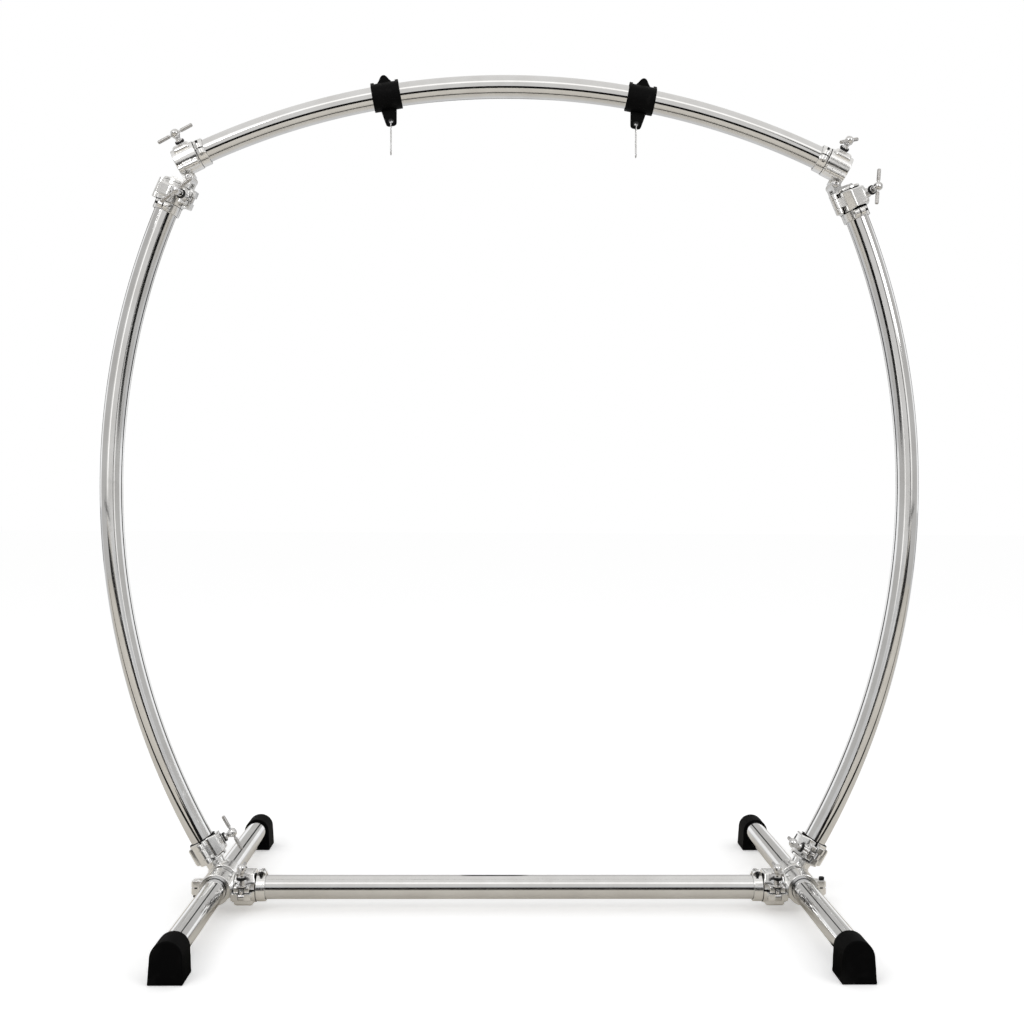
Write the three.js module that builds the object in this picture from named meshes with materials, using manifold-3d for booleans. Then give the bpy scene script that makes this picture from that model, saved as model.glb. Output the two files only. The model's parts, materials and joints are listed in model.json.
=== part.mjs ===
// Gong stand: a bolted frame of round chrome tube, closed at its corners by hinged quick-release clamps.
// Millimetres, +Z up, +X to the right, +Y to the back. The origin is on the floor, under the frame's middle.
import * as THREE from 'three';
import { mergeVertices } from 'three/addons/utils/BufferGeometryUtils.js';
import Module from 'manifold-3d';

const wasm = await Module();
wasm.setup();

// Driving dimensions of the frame
const tubeDiameter = 38.1;
const tubeWall = 1.8;
const arcRadius = 1219.2;
const frameHalfWidth = 668;
const uprightTopAngle = THREE.MathUtils.degToRad(23.5);
const uprightFootAngle = THREE.MathUtils.degToRad(-30);
const baseTubeLength = 690;
const baseHeight = 36;
const crossbarSetForward = 55;
const frameSetBack = 19;
const hangerHalfSpacing = 213;

// Driving dimensions of a clamp
const clampWidth = 39;
const clampRadius = 23.8;
const boreClearance = 0.8;
const splitGap = 0.8;
const seatGap = 0.3;
const endPlate = 4;
const boltOffset = 32;
const hingeOffset = 31;
const boltPinDrop = 6;
const boltPinRadius = 2.5;
const hingePinRadius = 2.4;
const knuckleRadius = 6.5;
const middleKnuckle = 15.8;
const outerKnuckle = 9;
const pinClearance = 0.3;
const cradleLugDepth = 12;
const cradleLugWidth = 32;
const cradleLugBeyondBolt = 7.5;
const jawLugThickness = 9;
const jawLugWidth = 25;
const jawLugBeyondBolt = 2.5;
const eyeWidth = 10;
const eyeRadius = 5.4;
const shankRadius = 4;
const shankSlotClearance = 0.7;
const jawHeight = 27;
const jawHalfWidth = 21;
const jawBevel = 7;
const jawPocketDepth = 1.5;
const jawPocketMargin = 5;
const cradleBackDepth = 27;
const cradleBackHalfWidth = 15;

// T-nut
const nutFlangeRadius = 8.2;
const nutFlangeHeight = 2.6;
const nutSleeveRadius = 6.2;
const nutSleeveHeight = 22;
const nutHubRadius = 7.2;
const nutBarRadius = 2.3;
const nutGripRadius = 3.1;
const nutGripLength = 17;
const nutBarLength = 65;
const threadClearance = 0.3;
const threadReach = 16;

// Base rings and their pinch screws
const ringRadius = 25.6;
const ringWidth = 38;
const uprightReach = 53.6;
const crossbarReach = 46;
const neckRadius = 16;
const ringLugReach = 40.5;
const ringLugHeight = 24;
const ringLugWidth = 14;
const ringSlit = 2.4;
const ringScrewRadius = 2.5;
const ringScrewHeadRadius = 4.4;
const ringScrewHeadHeight = 4;
const ringScrewInset = 6.5;

// Pivot between the two clamps of a top corner
const pivotRise = 32.2;
const pivotInset = 16.8;
const pivotBack = 10;
const pivotDrop = 32;
const pivotRadius = 7.5;
const pivotMiddle = 16;
const pivotOuter = 9.5;
const pivotBoltRadius = 3;
const pivotHeadRadius = 5.8;
const pivotHeadHeight = 3.6;
const pivotArmThickness = 7;

// Memory locks, the stop collars beside the clamps
const lockWidth = 15;
const lockRadius = 22.6;
const lockSlit = 2.2;
const lockLugReach = 29.5;
const lockLugHeight = 18;
const lockScrewRadius = 1.9;
const lockScrewHeadRadius = 3.3;
const lockScrewHeadHeight = 3;
const lockScrewInset = 5;
const lockClampGap = 0.5;

// Rubber feet
const footLength = 52;
const footHeight = 58.5;
const footSoleWidth = 49;
const footShoulderWidth = 46;
const footFrontDraft = 7;
const footFloor = 6;
const footSideRadius = 4;

// Leather hangers
const sleeveLength = 47;
const sleeveThickness = 2;
const leatherGap = 0.3;
const leatherEase = 0.6;
const strapWidth = 26.5;
const strapThickness = 2;
const tabThickness = 4;
const tabTopReach = 36;
const tabTopHalfWidth = 12.5;
const tabFootReach = 50;
const tabFootHalfWidth = 8;
const eyeletRise = 7;
const eyeletHoleRadius = 2.6;
const eyeletFlangeRadius = 5;
const eyeletFlangeHeight = 0.8;
const linkLength = 57;
const linkWidth = 11;
const linkWireRadius = 0.9;
const linkOpening = 0.5;

// Facets and the overrun that cuts take past a face
const tubeSides = 12;
const arcSteps = 24;
const bodySides = 16;
const smallSides = 8;
const gripSides = 6;
const nutSides = 9;
const overrun = 5;
const weldDistance = 0.01;
const mergeDistance = 0.0001;
const footCurveSteps = 8;
const tabCurveSteps = 5;
const linkBendSteps = 6;
const linkSides = 5;
const linkSteps = 26;

// Shares that shape the castings, the T-nuts and the hanger's tabs
const lugSlopeShare = 0.75;
const lugFlatShare = 0.12;
const webShares = { reach: 0.6, drop: 0.8 };
const nutShares = { hubRise: 0.6, sleeveTop: 0.8, neckTop: 0.85, waist: 0.7 };
const armShares = { root: 0.55, back: 0.35, shoulder: 0.6, side: 0.9, tip: 0.6 };
const tabPeakShare = 0.4;

const tubeRadius = tubeDiameter / 2;
const clampHalf = clampWidth / 2;
const boreRadius = tubeRadius + boreClearance;
const halfSplit = splitGap / 2;
const nutSeat = halfSplit + jawLugThickness + seatGap;
const boltLength = nutSeat + nutFlangeHeight + threadReach;

const chrome = { color: 0xc9ccd0, metalness: 1, roughness: 0.08 };
const castChrome = { color: 0xb9bbbe, metalness: 1, roughness: 0.16 };
const blackSteel = { color: 0x1b1b1d, metalness: 0.8, roughness: 0.4 };
const rubber = { color: 0x141416, metalness: 0, roughness: 0.75 };
const leather = { color: 0x1d1c1d, metalness: 0, roughness: 0.55 };
const wire = { color: 0x9a9da1, metalness: 1, roughness: 0.25 };

const stand = new THREE.Group();

// A closed geometry as a solid that can be joined and cut
function solid(geometry) {
  const plain = geometry.index ? geometry.toNonIndexed() : geometry.clone();
  plain.deleteAttribute('normal');
  plain.deleteAttribute('uv');
  const merged = mergeVertices(plain, mergeDistance);
  return new wasm.Manifold(new wasm.Mesh({
    numProp: 3,
    vertProperties: new Float32Array(merged.attributes.position.array),
    triVerts: new Uint32Array(merged.index.array),
  }));
}

// The geometry of a solid, with corners closer than the weld distance made one
function geometryOf(body) {
  const mesh = body.getMesh();
  const raw = new THREE.BufferGeometry();
  raw.setAttribute('position', new THREE.BufferAttribute(new Float32Array(mesh.vertProperties), 3));
  raw.setIndex(new THREE.BufferAttribute(new Uint32Array(mesh.triVerts), 1));
  const geometry = mergeVertices(raw, weldDistance);
  const corners = geometry.index.array;
  const kept = [];
  for (let i = 0; i < corners.length; i += 3) {
    const [a, b, c] = corners.slice(i, i + 3);
    if (a !== b && b !== c && c !== a) kept.push(a, b, c);
  }
  geometry.setIndex(kept);
  geometry.computeVertexNormals();
  return geometry;
}

// A prism of an outline in X and Y, from z = low to z = high
function prism(outline, low, high) {
  const geometry = new THREE.ExtrudeGeometry(outline, { depth: high - low, bevelEnabled: false });
  geometry.translate(0, 0, low);
  return solid(geometry);
}

function polygon(points) {
  return new THREE.Shape(points.map(([x, y]) => new THREE.Vector2(x, y)));
}

function slab(x0, x1, y0, y1, z0, z1) {
  return prism(polygon([[x0, y0], [x1, y0], [x1, y1], [x0, y1]]), z0, z1);
}

// A round bar along Z
function bar(radius, low, high, sides, x = 0, y = 0) {
  const geometry = new THREE.CylinderGeometry(radius, radius, high - low, sides);
  geometry.rotateX(Math.PI / 2);
  geometry.translate(x, y, (low + high) / 2);
  return solid(geometry);
}

// A round bar along X, Y or Z between two distances from a point
function barAlong(axis, radius, low, high, sides, at) {
  const geometry = new THREE.CylinderGeometry(radius, radius, high - low, sides);
  geometry.translate(0, (low + high) / 2, 0);
  const turn = new THREE.Quaternion().setFromUnitVectors(new THREE.Vector3(0, 1, 0), axis);
  geometry.applyQuaternion(turn);
  geometry.translate(at.x, at.y, at.z);
  return solid(geometry);
}

function joined(...bodies) {
  return bodies.reduce((whole, next) => whole.add(next));
}

function cut(body, ...tools) {
  return tools.reduce((whole, next) => whole.subtract(next), body);
}

function addMesh(name, geometry, look, frame = new THREE.Matrix4()) {
  const mesh = new THREE.Mesh(geometry, new THREE.MeshStandardMaterial(look));
  mesh.name = name;
  frame.decompose(mesh.position, mesh.quaternion, mesh.scale);
  stand.add(mesh);
  return mesh;
}

// The frame of a clamp: X towards its bolt side, Y along its bolt, Z along its tube
function clampFrame(centre, along, boltUp) {
  const z = along.clone().normalize();
  const y = boltUp.clone().addScaledVector(z, -boltUp.dot(z)).normalize();
  const x = new THREE.Vector3().crossVectors(y, z);
  return new THREE.Matrix4().makeBasis(x, y, z).setPosition(centre);
}

// Curves of the tubes
class ArcInPlane extends THREE.Curve {
  constructor(centreX, centreZ, startAngle, endAngle) {
    super();
    this.centreX = centreX;
    this.centreZ = centreZ;
    this.startAngle = startAngle;
    this.endAngle = endAngle;
  }
  getPoint(share, target = new THREE.Vector3()) {
    const angle = this.startAngle + (this.endAngle - this.startAngle) * share;
    const x = this.centreX + arcRadius * Math.cos(angle);
    return target.set(x, 0, this.centreZ + arcRadius * Math.sin(angle));
  }
}

function tubeSection() {
  const section = new THREE.Shape();
  const hole = new THREE.Path();
  for (let i = 0; i < tubeSides; i += 1) {
    const angle = (2 * Math.PI * i) / tubeSides;
    const inner = tubeRadius - tubeWall;
    const pen = i === 0 ? 'moveTo' : 'lineTo';
    section[pen](tubeRadius * Math.cos(angle), tubeRadius * Math.sin(angle));
    hole[pen](inner * Math.cos(angle), inner * Math.sin(angle));
  }
  section.holes.push(hole);
  return section;
}

function bentTube(curve) {
  return new THREE.ExtrudeGeometry(tubeSection(), { steps: arcSteps, extrudePath: curve });
}

function straightTube(from, to) {
  return new THREE.ExtrudeGeometry(tubeSection(), { steps: 1, extrudePath: new THREE.LineCurve3(from, to) });
}

// Places of the frame: side is -1 on the left and 1 on the right
const uprightCentreX = arcRadius - frameHalfWidth;
const footRise = uprightReach * Math.cos(uprightFootAngle);
const uprightCentreHeight = baseHeight + footRise - arcRadius * Math.sin(uprightFootAngle);

function uprightPoint(side, angle) {
  const x = side * (arcRadius * Math.cos(angle) - uprightCentreX);
  return new THREE.Vector3(x, 0, uprightCentreHeight + arcRadius * Math.sin(angle));
}

function uprightUp(side, angle) {
  return new THREE.Vector3(-side * Math.sin(angle), 0, Math.cos(angle));
}

function uprightInward(side, angle) {
  return new THREE.Vector3(-side * Math.cos(angle), 0, -Math.sin(angle));
}

// The pivot stands off the upright's end, and the arch is set so that its own clamps meet both pivots
function pivotPoint(side) {
  return uprightPoint(side, uprightTopAngle)
    .addScaledVector(uprightUp(side, uprightTopAngle), pivotRise)
    .addScaledVector(uprightInward(side, uprightTopAngle), pivotInset);
}

const rightPivot = pivotPoint(1);
const pivotArcRadius = Math.hypot(arcRadius - pivotDrop, pivotBack);
const pivotLead = Math.atan2(pivotBack, arcRadius - pivotDrop);
const archClampAngle = Math.asin(rightPivot.x / pivotArcRadius) - pivotLead;
const archCentreHeight = rightPivot.z - pivotArcRadius * Math.cos(archClampAngle + pivotLead);
const hangerAngle = Math.asin(hangerHalfSpacing / arcRadius);

function archPoint(angle) {
  return new THREE.Vector3(arcRadius * Math.sin(angle), 0, archCentreHeight + arcRadius * Math.cos(angle));
}

function archRight(angle) {
  return new THREE.Vector3(Math.cos(angle), 0, -Math.sin(angle));
}

function archUp(angle) {
  return new THREE.Vector3(Math.sin(angle), 0, Math.cos(angle));
}

const footUpright = uprightPoint(1, uprightFootAngle);
const baseHalfSpacing = footUpright.x + uprightReach * Math.sin(uprightFootAngle);
const towardsViewer = new THREE.Vector3(0, -1, 0);

// Cradle: the fixed half of a clamp, with its hinge pin and bolt pin pressed in.
// hand is 1 with the bolt on +X and -1 with it on -X.
function cradleBody(hand, hasBack) {
  const lugEnd = hand * (boltOffset + cradleLugBeyondBolt);
  const hinge = -hand * hingeOffset;
  const slotStart = hand * (boltOffset - eyeRadius - shankSlotClearance);
  const far = boltOffset + cradleLugBeyondBolt + overrun;
  const knuckleStart = middleKnuckle / 2 + seatGap;
  const knuckleEnd = knuckleStart + outerKnuckle;
  const lugShape = polygon([
    [0, 0], [lugEnd, 0], [lugEnd, -cradleLugDepth * lugSlopeShare],
    [hand * (boltOffset + cradleLugBeyondBolt * lugFlatShare), -cradleLugDepth], [0, -clampRadius + endPlate],
  ]);
  const webShape = polygon([
    [0, 0], [hinge, 0], [hinge, -knuckleRadius],
    [hand * -clampRadius * webShares.reach, -clampRadius * webShares.drop], [0, -clampRadius * webShares.drop],
  ]);
  let body = joined(
    bar(clampRadius, -clampHalf, clampHalf, bodySides),
    prism(lugShape, -cradleLugWidth / 2, cradleLugWidth / 2),
    prism(webShape, -knuckleEnd + seatGap, knuckleEnd - seatGap),
  );
  if (hasBack) {
    const inner = cradleBackHalfWidth - endPlate;
    const backEdge = -cradleBackDepth + endPlate;
    const backShape = polygon([
      [-cradleBackHalfWidth, 0], [-cradleBackHalfWidth, backEdge], [-inner, -cradleBackDepth],
      [inner, -cradleBackDepth], [cradleBackHalfWidth, backEdge], [cradleBackHalfWidth, 0],
    ]);
    body = body.add(prism(backShape, -clampHalf + endPlate, clampHalf - endPlate));
  }
  body = cut(body, slab(-far, far, -halfSplit, far, -clampHalf - overrun, clampHalf + overrun));
  for (const end of [-1, 1]) {
    const low = Math.min(end * knuckleStart, end * knuckleEnd);
    body = body.add(bar(knuckleRadius, low, low + outerKnuckle, smallSides, hinge, 0));
  }
  return cut(
    body,
    slab(
      Math.min(slotStart, hand * far), Math.max(slotStart, hand * far), -far, far,
      -eyeWidth / 2 - pinClearance, eyeWidth / 2 + pinClearance,
    ),
    bar(knuckleRadius + seatGap + pinClearance, -knuckleStart, knuckleStart, smallSides, hinge, 0),
  )
    .add(bar(boltPinRadius, -cradleLugWidth / 2, cradleLugWidth / 2, smallSides, hand * boltOffset, -boltPinDrop))
    .add(bar(hingePinRadius, -knuckleEnd, knuckleEnd, smallSides, hinge, 0));
}

// Jaw: the hinged half, with a bevelled square face and a fork that the bolt swings into
function jawBody(hand, low, high) {
  const hinge = -hand * hingeOffset;
  const far = boltOffset + overrun;
  const slotHalf = shankRadius + shankSlotClearance;
  const slotStart = hand * (boltOffset - slotHalf);
  const tipX = hand * (boltOffset + jawLugBeyondBolt);
  const flat = jawHalfWidth - jawBevel;
  const outline = polygon([
    [-jawHalfWidth, 0], [jawHalfWidth, 0], [jawHalfWidth, jawHeight - 2 * jawBevel], [flat, jawHeight],
    [-flat, jawHeight], [-jawHalfWidth, jawHeight - 2 * jawBevel],
  ]);
  const bevelTop = polygon([
    [-far, jawHeight - jawBevel / 2], [-far, far], [far, far], [far, jawHeight - jawBevel / 2],
  ]);
  const knuckleHalf = middleKnuckle / 2;
  let body = joined(
    prism(outline, low, high),
    slab(
      Math.min(0, tipX), Math.max(0, tipX), 0, halfSplit + jawLugThickness,
      -jawLugWidth / 2, jawLugWidth / 2,
    ),
    slab(Math.min(0, hinge), Math.max(0, hinge), 0, knuckleRadius, -knuckleHalf, knuckleHalf),
  );
  const crown = prism(bevelTop, low, low + jawBevel / 2).add(prism(bevelTop, high - jawBevel / 2, high));
  body = cut(body, crown, slab(-far, far, -far, halfSplit, low - overrun, high + overrun));
  body = body.add(bar(knuckleRadius, -knuckleHalf, knuckleHalf, smallSides, hinge, 0));
  const pocketHalf = flat - jawPocketMargin / 2;
  return cut(
    body,
    bar(boreRadius, low - overrun, high + overrun, bodySides),
    slab(
      Math.min(slotStart, hand * far), Math.max(slotStart, hand * far), -far, far, -slotHalf, slotHalf,
    ),
    slab(
      -pocketHalf, pocketHalf, jawHeight - jawPocketDepth, far,
      low + jawBevel / 2 + jawPocketMargin, high - jawBevel / 2 - jawPocketMargin,
    ),
    bar(hingePinRadius + pinClearance, -clampHalf, clampHalf, smallSides, hinge, 0),
  );
}

// Swing bolt: an eye round the bolt pin, with a threaded shank
function swingBoltBody(hand) {
  const x = hand * boltOffset;
  const up = new THREE.Vector3(0, 1, 0);
  const root = new THREE.Vector3(x, -boltPinDrop, 0);
  return cut(
    bar(eyeRadius, -eyeWidth / 2, eyeWidth / 2, smallSides, x, -boltPinDrop)
      .add(barAlong(up, shankRadius, 0, boltLength + boltPinDrop, smallSides, root)),
    bar(boltPinRadius + pinClearance, -eyeWidth, eyeWidth, smallSides, x, -boltPinDrop),
  );
}

// T-nut: flange, sleeve, round hub and a cross bar with thicker grips
function tNutBody(hand, barAngle) {
  const hubHeight = nutFlangeHeight + nutSleeveHeight + nutHubRadius * nutShares.hubRise;
  const waist = nutHubRadius * nutShares.waist;
  const profile = [
    [0, 0], [nutFlangeRadius, 0], [nutFlangeRadius, nutFlangeHeight], [nutSleeveRadius, nutFlangeHeight],
    [nutSleeveRadius, nutFlangeHeight + nutSleeveHeight * nutShares.sleeveTop],
    [waist, nutFlangeHeight + nutSleeveHeight * nutShares.neckTop],
    [nutHubRadius, hubHeight], [waist, hubHeight + waist], [0, hubHeight + nutHubRadius],
  ];
  const points = profile.map(([r, h]) => new THREE.Vector2(r, h));
  const turned = new THREE.LatheGeometry(points, nutSides);
  turned.translate(0, nutSeat, 0);
  const cross = new THREE.Vector3(Math.cos(barAngle), 0, Math.sin(barAngle));
  const hub = new THREE.Vector3(0, nutSeat + hubHeight, 0);
  const half = nutBarLength / 2;
  const up = new THREE.Vector3(0, 1, 0);
  const body = joined(
    solid(turned),
    barAlong(cross, nutBarRadius, -half + overrun, half - overrun, gripSides, hub),
    barAlong(cross, nutGripRadius, half - nutGripLength, half, gripSides, hub),
    barAlong(cross, nutGripRadius, -half, -half + nutGripLength, gripSides, hub),
  );
  const bore = barAlong(
    up, shankRadius + threadClearance, nutSeat - overrun, boltLength + threadClearance, smallSides,
    new THREE.Vector3(),
  );
  return cut(body, bore).translate([hand * boltOffset, 0, 0]);
}

// Builds one clamp: the casting gets what extra adds to it and loses what its cuts take
function addClamp(name, frame, hand, options) {
  const { barAngle = 0, closedEnd = true, hasBack = true, extra = [], cuts = [], pressedIn = [] } = options;
  const plate = closedEnd ? bar(clampRadius, clampHalf - endPlate, clampHalf, bodySides) : null;
  const boreEnd = closedEnd ? clampHalf - endPlate : clampHalf + overrun;
  let casting = cradleBody(hand, hasBack);
  casting = cut(casting, bar(boreRadius, -clampHalf - overrun, boreEnd, bodySides));
  if (plate) casting = casting.add(plate);
  casting = joined(cut(joined(casting, ...extra), ...cuts), ...pressedIn);
  const jawHigh = closedEnd ? clampHalf - endPlate - seatGap : clampHalf;
  addMesh(`${name}_casting`, geometryOf(casting), castChrome, frame);
  addMesh(`${name}_jaw`, geometryOf(jawBody(hand, -clampHalf, jawHigh)), castChrome, frame);
  addMesh(`${name}_swing_bolt`, geometryOf(swingBoltBody(hand)), chrome, frame);
  addMesh(`${name}_t_nut`, geometryOf(tNutBody(hand, barAngle)), chrome, frame);
}

// Base ring of a T clamp: it holds the base tube, and a slit lug with a pinch screw closes it
function addTClamp(name, frame, reach, hand, barAngle, lugDirection, screwName) {
  const inverse = frame.clone().invert();
  const toLocal = (vector) => vector.clone().transformDirection(inverse);
  const ringAxis = toLocal(new THREE.Vector3(0, 1, 0));
  const centre = new THREE.Vector3(0, 0, reach);
  const lugFrame = new THREE.Matrix4().makeBasis(
    toLocal(lugDirection), ringAxis, new THREE.Vector3().crossVectors(toLocal(lugDirection), ringAxis),
  ).setPosition(centre);
  const inLugFrame = (body) => {
    const geometry = geometryOf(body);
    geometry.applyMatrix4(lugFrame);
    return solid(geometry);
  };
  const lugTop = ringLugHeight / 2;
  const lug = slab(0, ringLugReach, -ringLugWidth / 2, ringLugWidth / 2, -lugTop, lugTop);
  const slit = slab(0, ringLugReach + overrun, -ringWidth, ringWidth, -ringSlit / 2, ringSlit / 2);
  const screwX = ringLugReach - ringScrewInset;
  const screwHole = bar(ringScrewRadius + pinClearance, -ringLugHeight, ringLugHeight, smallSides, screwX, 0);
  const screwTop = ringLugHeight / 2 + seatGap + ringScrewHeadHeight / 2;
  const screw = bar(ringScrewRadius, -ringLugHeight / 2, screwTop, smallSides, screwX, 0)
    .add(bar(
      ringScrewHeadRadius, ringLugHeight / 2 + seatGap, ringLugHeight / 2 + seatGap + ringScrewHeadHeight,
      smallSides, screwX, 0,
    ));
  const tightScrew = bar(
    ringScrewRadius + 2 * pinClearance, -ringLugHeight / 2 - seatGap, screwTop, smallSides, screwX, 0,
  ).add(screw);
  const ring = barAlong(ringAxis, ringRadius, -ringWidth / 2, ringWidth / 2, bodySides, centre);
  const bore = barAlong(ringAxis, boreRadius, -ringWidth, ringWidth, bodySides, centre);
  const neck = bar(neckRadius, clampHalf - endPlate / 2, reach, bodySides);
  addClamp(name, frame, hand, {
    barAngle,
    extra: [neck, ring, inLugFrame(lug)],
    cuts: [bore, inLugFrame(slit), inLugFrame(screwHole)],
    pressedIn: screwName ? [] : [inLugFrame(tightScrew)],
  });
  if (screwName) addMesh(screwName, geometryOf(inLugFrame(screw)), blackSteel, frame);
}

// Memory lock: a slit collar in the frame of its tube. Its lug lies along X with the key screw through it.
function addLock(name, frame) {
  const half = lockWidth / 2;
  const screwX = lockLugReach - lockScrewInset;
  const across = new THREE.Vector3(0, 1, 0);
  const at = new THREE.Vector3(screwX, 0, 0);
  const head = lockLugHeight / 2 + seatGap;
  const lug = slab(0, lockLugReach, -lockLugHeight / 2, lockLugHeight / 2, -half, half);
  const body = cut(
    bar(lockRadius, -half, half, bodySides).add(lug),
    bar(boreRadius, -half - overrun, half + overrun, bodySides),
    slab(0, lockLugReach + overrun, -lockSlit / 2, lockSlit / 2, -half - overrun, half + overrun),
  );
  const screw = barAlong(across, lockScrewRadius, -lockLugHeight / 2, head, smallSides, at)
    .add(barAlong(across, lockScrewHeadRadius, lockLugHeight / 2, head + lockScrewHeadHeight, smallSides, at));
  addMesh(name, geometryOf(body.add(screw)), castChrome, frame);
}

// The frame of a lock: its lug along one direction, its screw across, its bore along the tube
function lockFrame(centre, along, lug) {
  const z = along.clone().normalize();
  const x = lug.clone().addScaledVector(z, -lug.dot(z)).normalize();
  const y = new THREE.Vector3().crossVectors(z, x);
  return new THREE.Matrix4().makeBasis(x, y, z).setPosition(centre);
}

const sideName = (side) => (side < 0 ? 'left' : 'right');
const lockCentre = clampHalf + lockClampGap + lockWidth / 2;

// Uprights, from the base rings to the top corners
const uprightEnd = (clampHalf - endPlate - seatGap * 2) / arcRadius;
for (const side of [-1, 1]) {
  const low = uprightFootAngle - uprightEnd;
  const high = uprightTopAngle + uprightEnd;
  const curve = side > 0
    ? new ArcInPlane(-uprightCentreX, uprightCentreHeight, low, high)
    : new ArcInPlane(uprightCentreX, uprightCentreHeight, Math.PI - low, Math.PI - high);
  addMesh(`upright_tube_${sideName(side)}`, bentTube(curve), chrome);
}

// Top arch
const archEnd = archClampAngle + clampHalf / arcRadius;
const archCurve = new ArcInPlane(0, archCentreHeight, Math.PI / 2 + archEnd, Math.PI / 2 - archEnd);
addMesh('top_arch_tube', bentTube(archCurve), chrome);

// Base tubes with their rubber feet
function footBody(end) {
  const half = footSoleWidth / 2;
  const shoulder = footShoulderWidth / 2;
  const round = footHeight - shoulder;
  const outline = new THREE.Shape();
  outline.moveTo(-half, 0);
  outline.lineTo(half, 0);
  outline.lineTo(shoulder, round);
  outline.absarc(0, round, shoulder, 0, Math.PI, false);
  outline.lineTo(-half, 0);
  const geometry = new THREE.ExtrudeGeometry(outline, {
    depth: footLength, bevelEnabled: false, curveSegments: footCurveSteps,
  });
  const place = geometry.attributes.position;
  for (let i = 0; i < place.count; i += 1) {
    if (place.getZ(i) > footLength / 2) {
      const rise = place.getY(i) / footHeight;
      place.setZ(i, footLength - footFrontDraft * rise * rise);
      place.setX(i, place.getX(i) * (1 - footSideRadius / footSoleWidth));
    }
  }
  const tubeAt = new THREE.Vector3(0, baseHeight, 0);
  const back = new THREE.Vector3(0, 0, 1);
  const socketEnd = footLength - footFloor - footFrontDraft;
  const socket = barAlong(back, tubeRadius + seatGap, -overrun, socketEnd, tubeSides, tubeAt);
  const foot = geometryOf(cut(solid(geometry), socket));
  foot.rotateX(Math.PI / 2);
  if (end < 0) return foot;
  foot.rotateZ(Math.PI);
  return foot;
}

const footStart = baseTubeLength / 2 - (footLength - footFloor - footFrontDraft - seatGap);
for (const side of [-1, 1]) {
  const x = side * baseHalfSpacing;
  const from = new THREE.Vector3(x, -baseTubeLength / 2 - frameSetBack, baseHeight);
  const to = new THREE.Vector3(x, baseTubeLength / 2 - frameSetBack, baseHeight);
  addMesh(`base_tube_${sideName(side)}`, straightTube(from, to), chrome);
  for (const end of [-1, 1]) {
    const place = end < 0 ? 'front' : 'rear';
    const foot = addMesh(`rubber_foot_${place}_${sideName(side)}`, footBody(end), rubber);
    foot.position.set(x, end * footStart - frameSetBack, 0);
  }
}

// Crossbar
const crossbarHalf = baseHalfSpacing - crossbarReach + clampHalf - endPlate - seatGap;
addMesh('crossbar_tube', straightTube(
  new THREE.Vector3(-crossbarHalf, -crossbarSetForward, baseHeight),
  new THREE.Vector3(crossbarHalf, -crossbarSetForward, baseHeight),
), chrome);

// Bottom corners: a T clamp for the upright and one for the crossbar
for (const side of [-1, 1]) {
  const inward = uprightInward(side, uprightFootAngle);
  const down = uprightUp(side, uprightFootAngle).negate();
  const uprightFrame = clampFrame(uprightPoint(side, uprightFootAngle), down, inward);
  const frontHand = uprightFrame.elements[1] < 0 ? 1 : -1;
  const uprightHand = side < 0 ? -frontHand : frontHand;
  const toMiddle = new THREE.Vector3(-side, 0, 0);
  const outward = new THREE.Vector3(side, 0, 0);
  addTClamp(
    `upright_foot_clamp_${sideName(side)}`, uprightFrame, uprightReach, uprightHand,
    side < 0 ? Math.PI / 2 : 0, toMiddle,
  );

  const crossbarX = side * (baseHalfSpacing - crossbarReach);
  const crossbarCentre = new THREE.Vector3(crossbarX, -crossbarSetForward, baseHeight);
  const crossbarFrame = clampFrame(crossbarCentre, outward, new THREE.Vector3(0, 0, 1));
  const crossbarHand = crossbarFrame.elements[1] < 0 ? 1 : -1;
  addTClamp(
    `crossbar_clamp_${sideName(side)}`, crossbarFrame, crossbarReach, crossbarHand,
    0, outward, `ring_screw_${sideName(side)}`,
  );

  const lockX = side * (baseHalfSpacing - crossbarReach - lockCentre);
  const lockAt = new THREE.Vector3(lockX, -crossbarSetForward, baseHeight);
  const crossbarLock = lockFrame(lockAt, new THREE.Vector3(1, 0, 0), new THREE.Vector3(0, 0, 1));
  addLock(`memory_lock_crossbar_${sideName(side)}`, crossbarLock);
}

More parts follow.
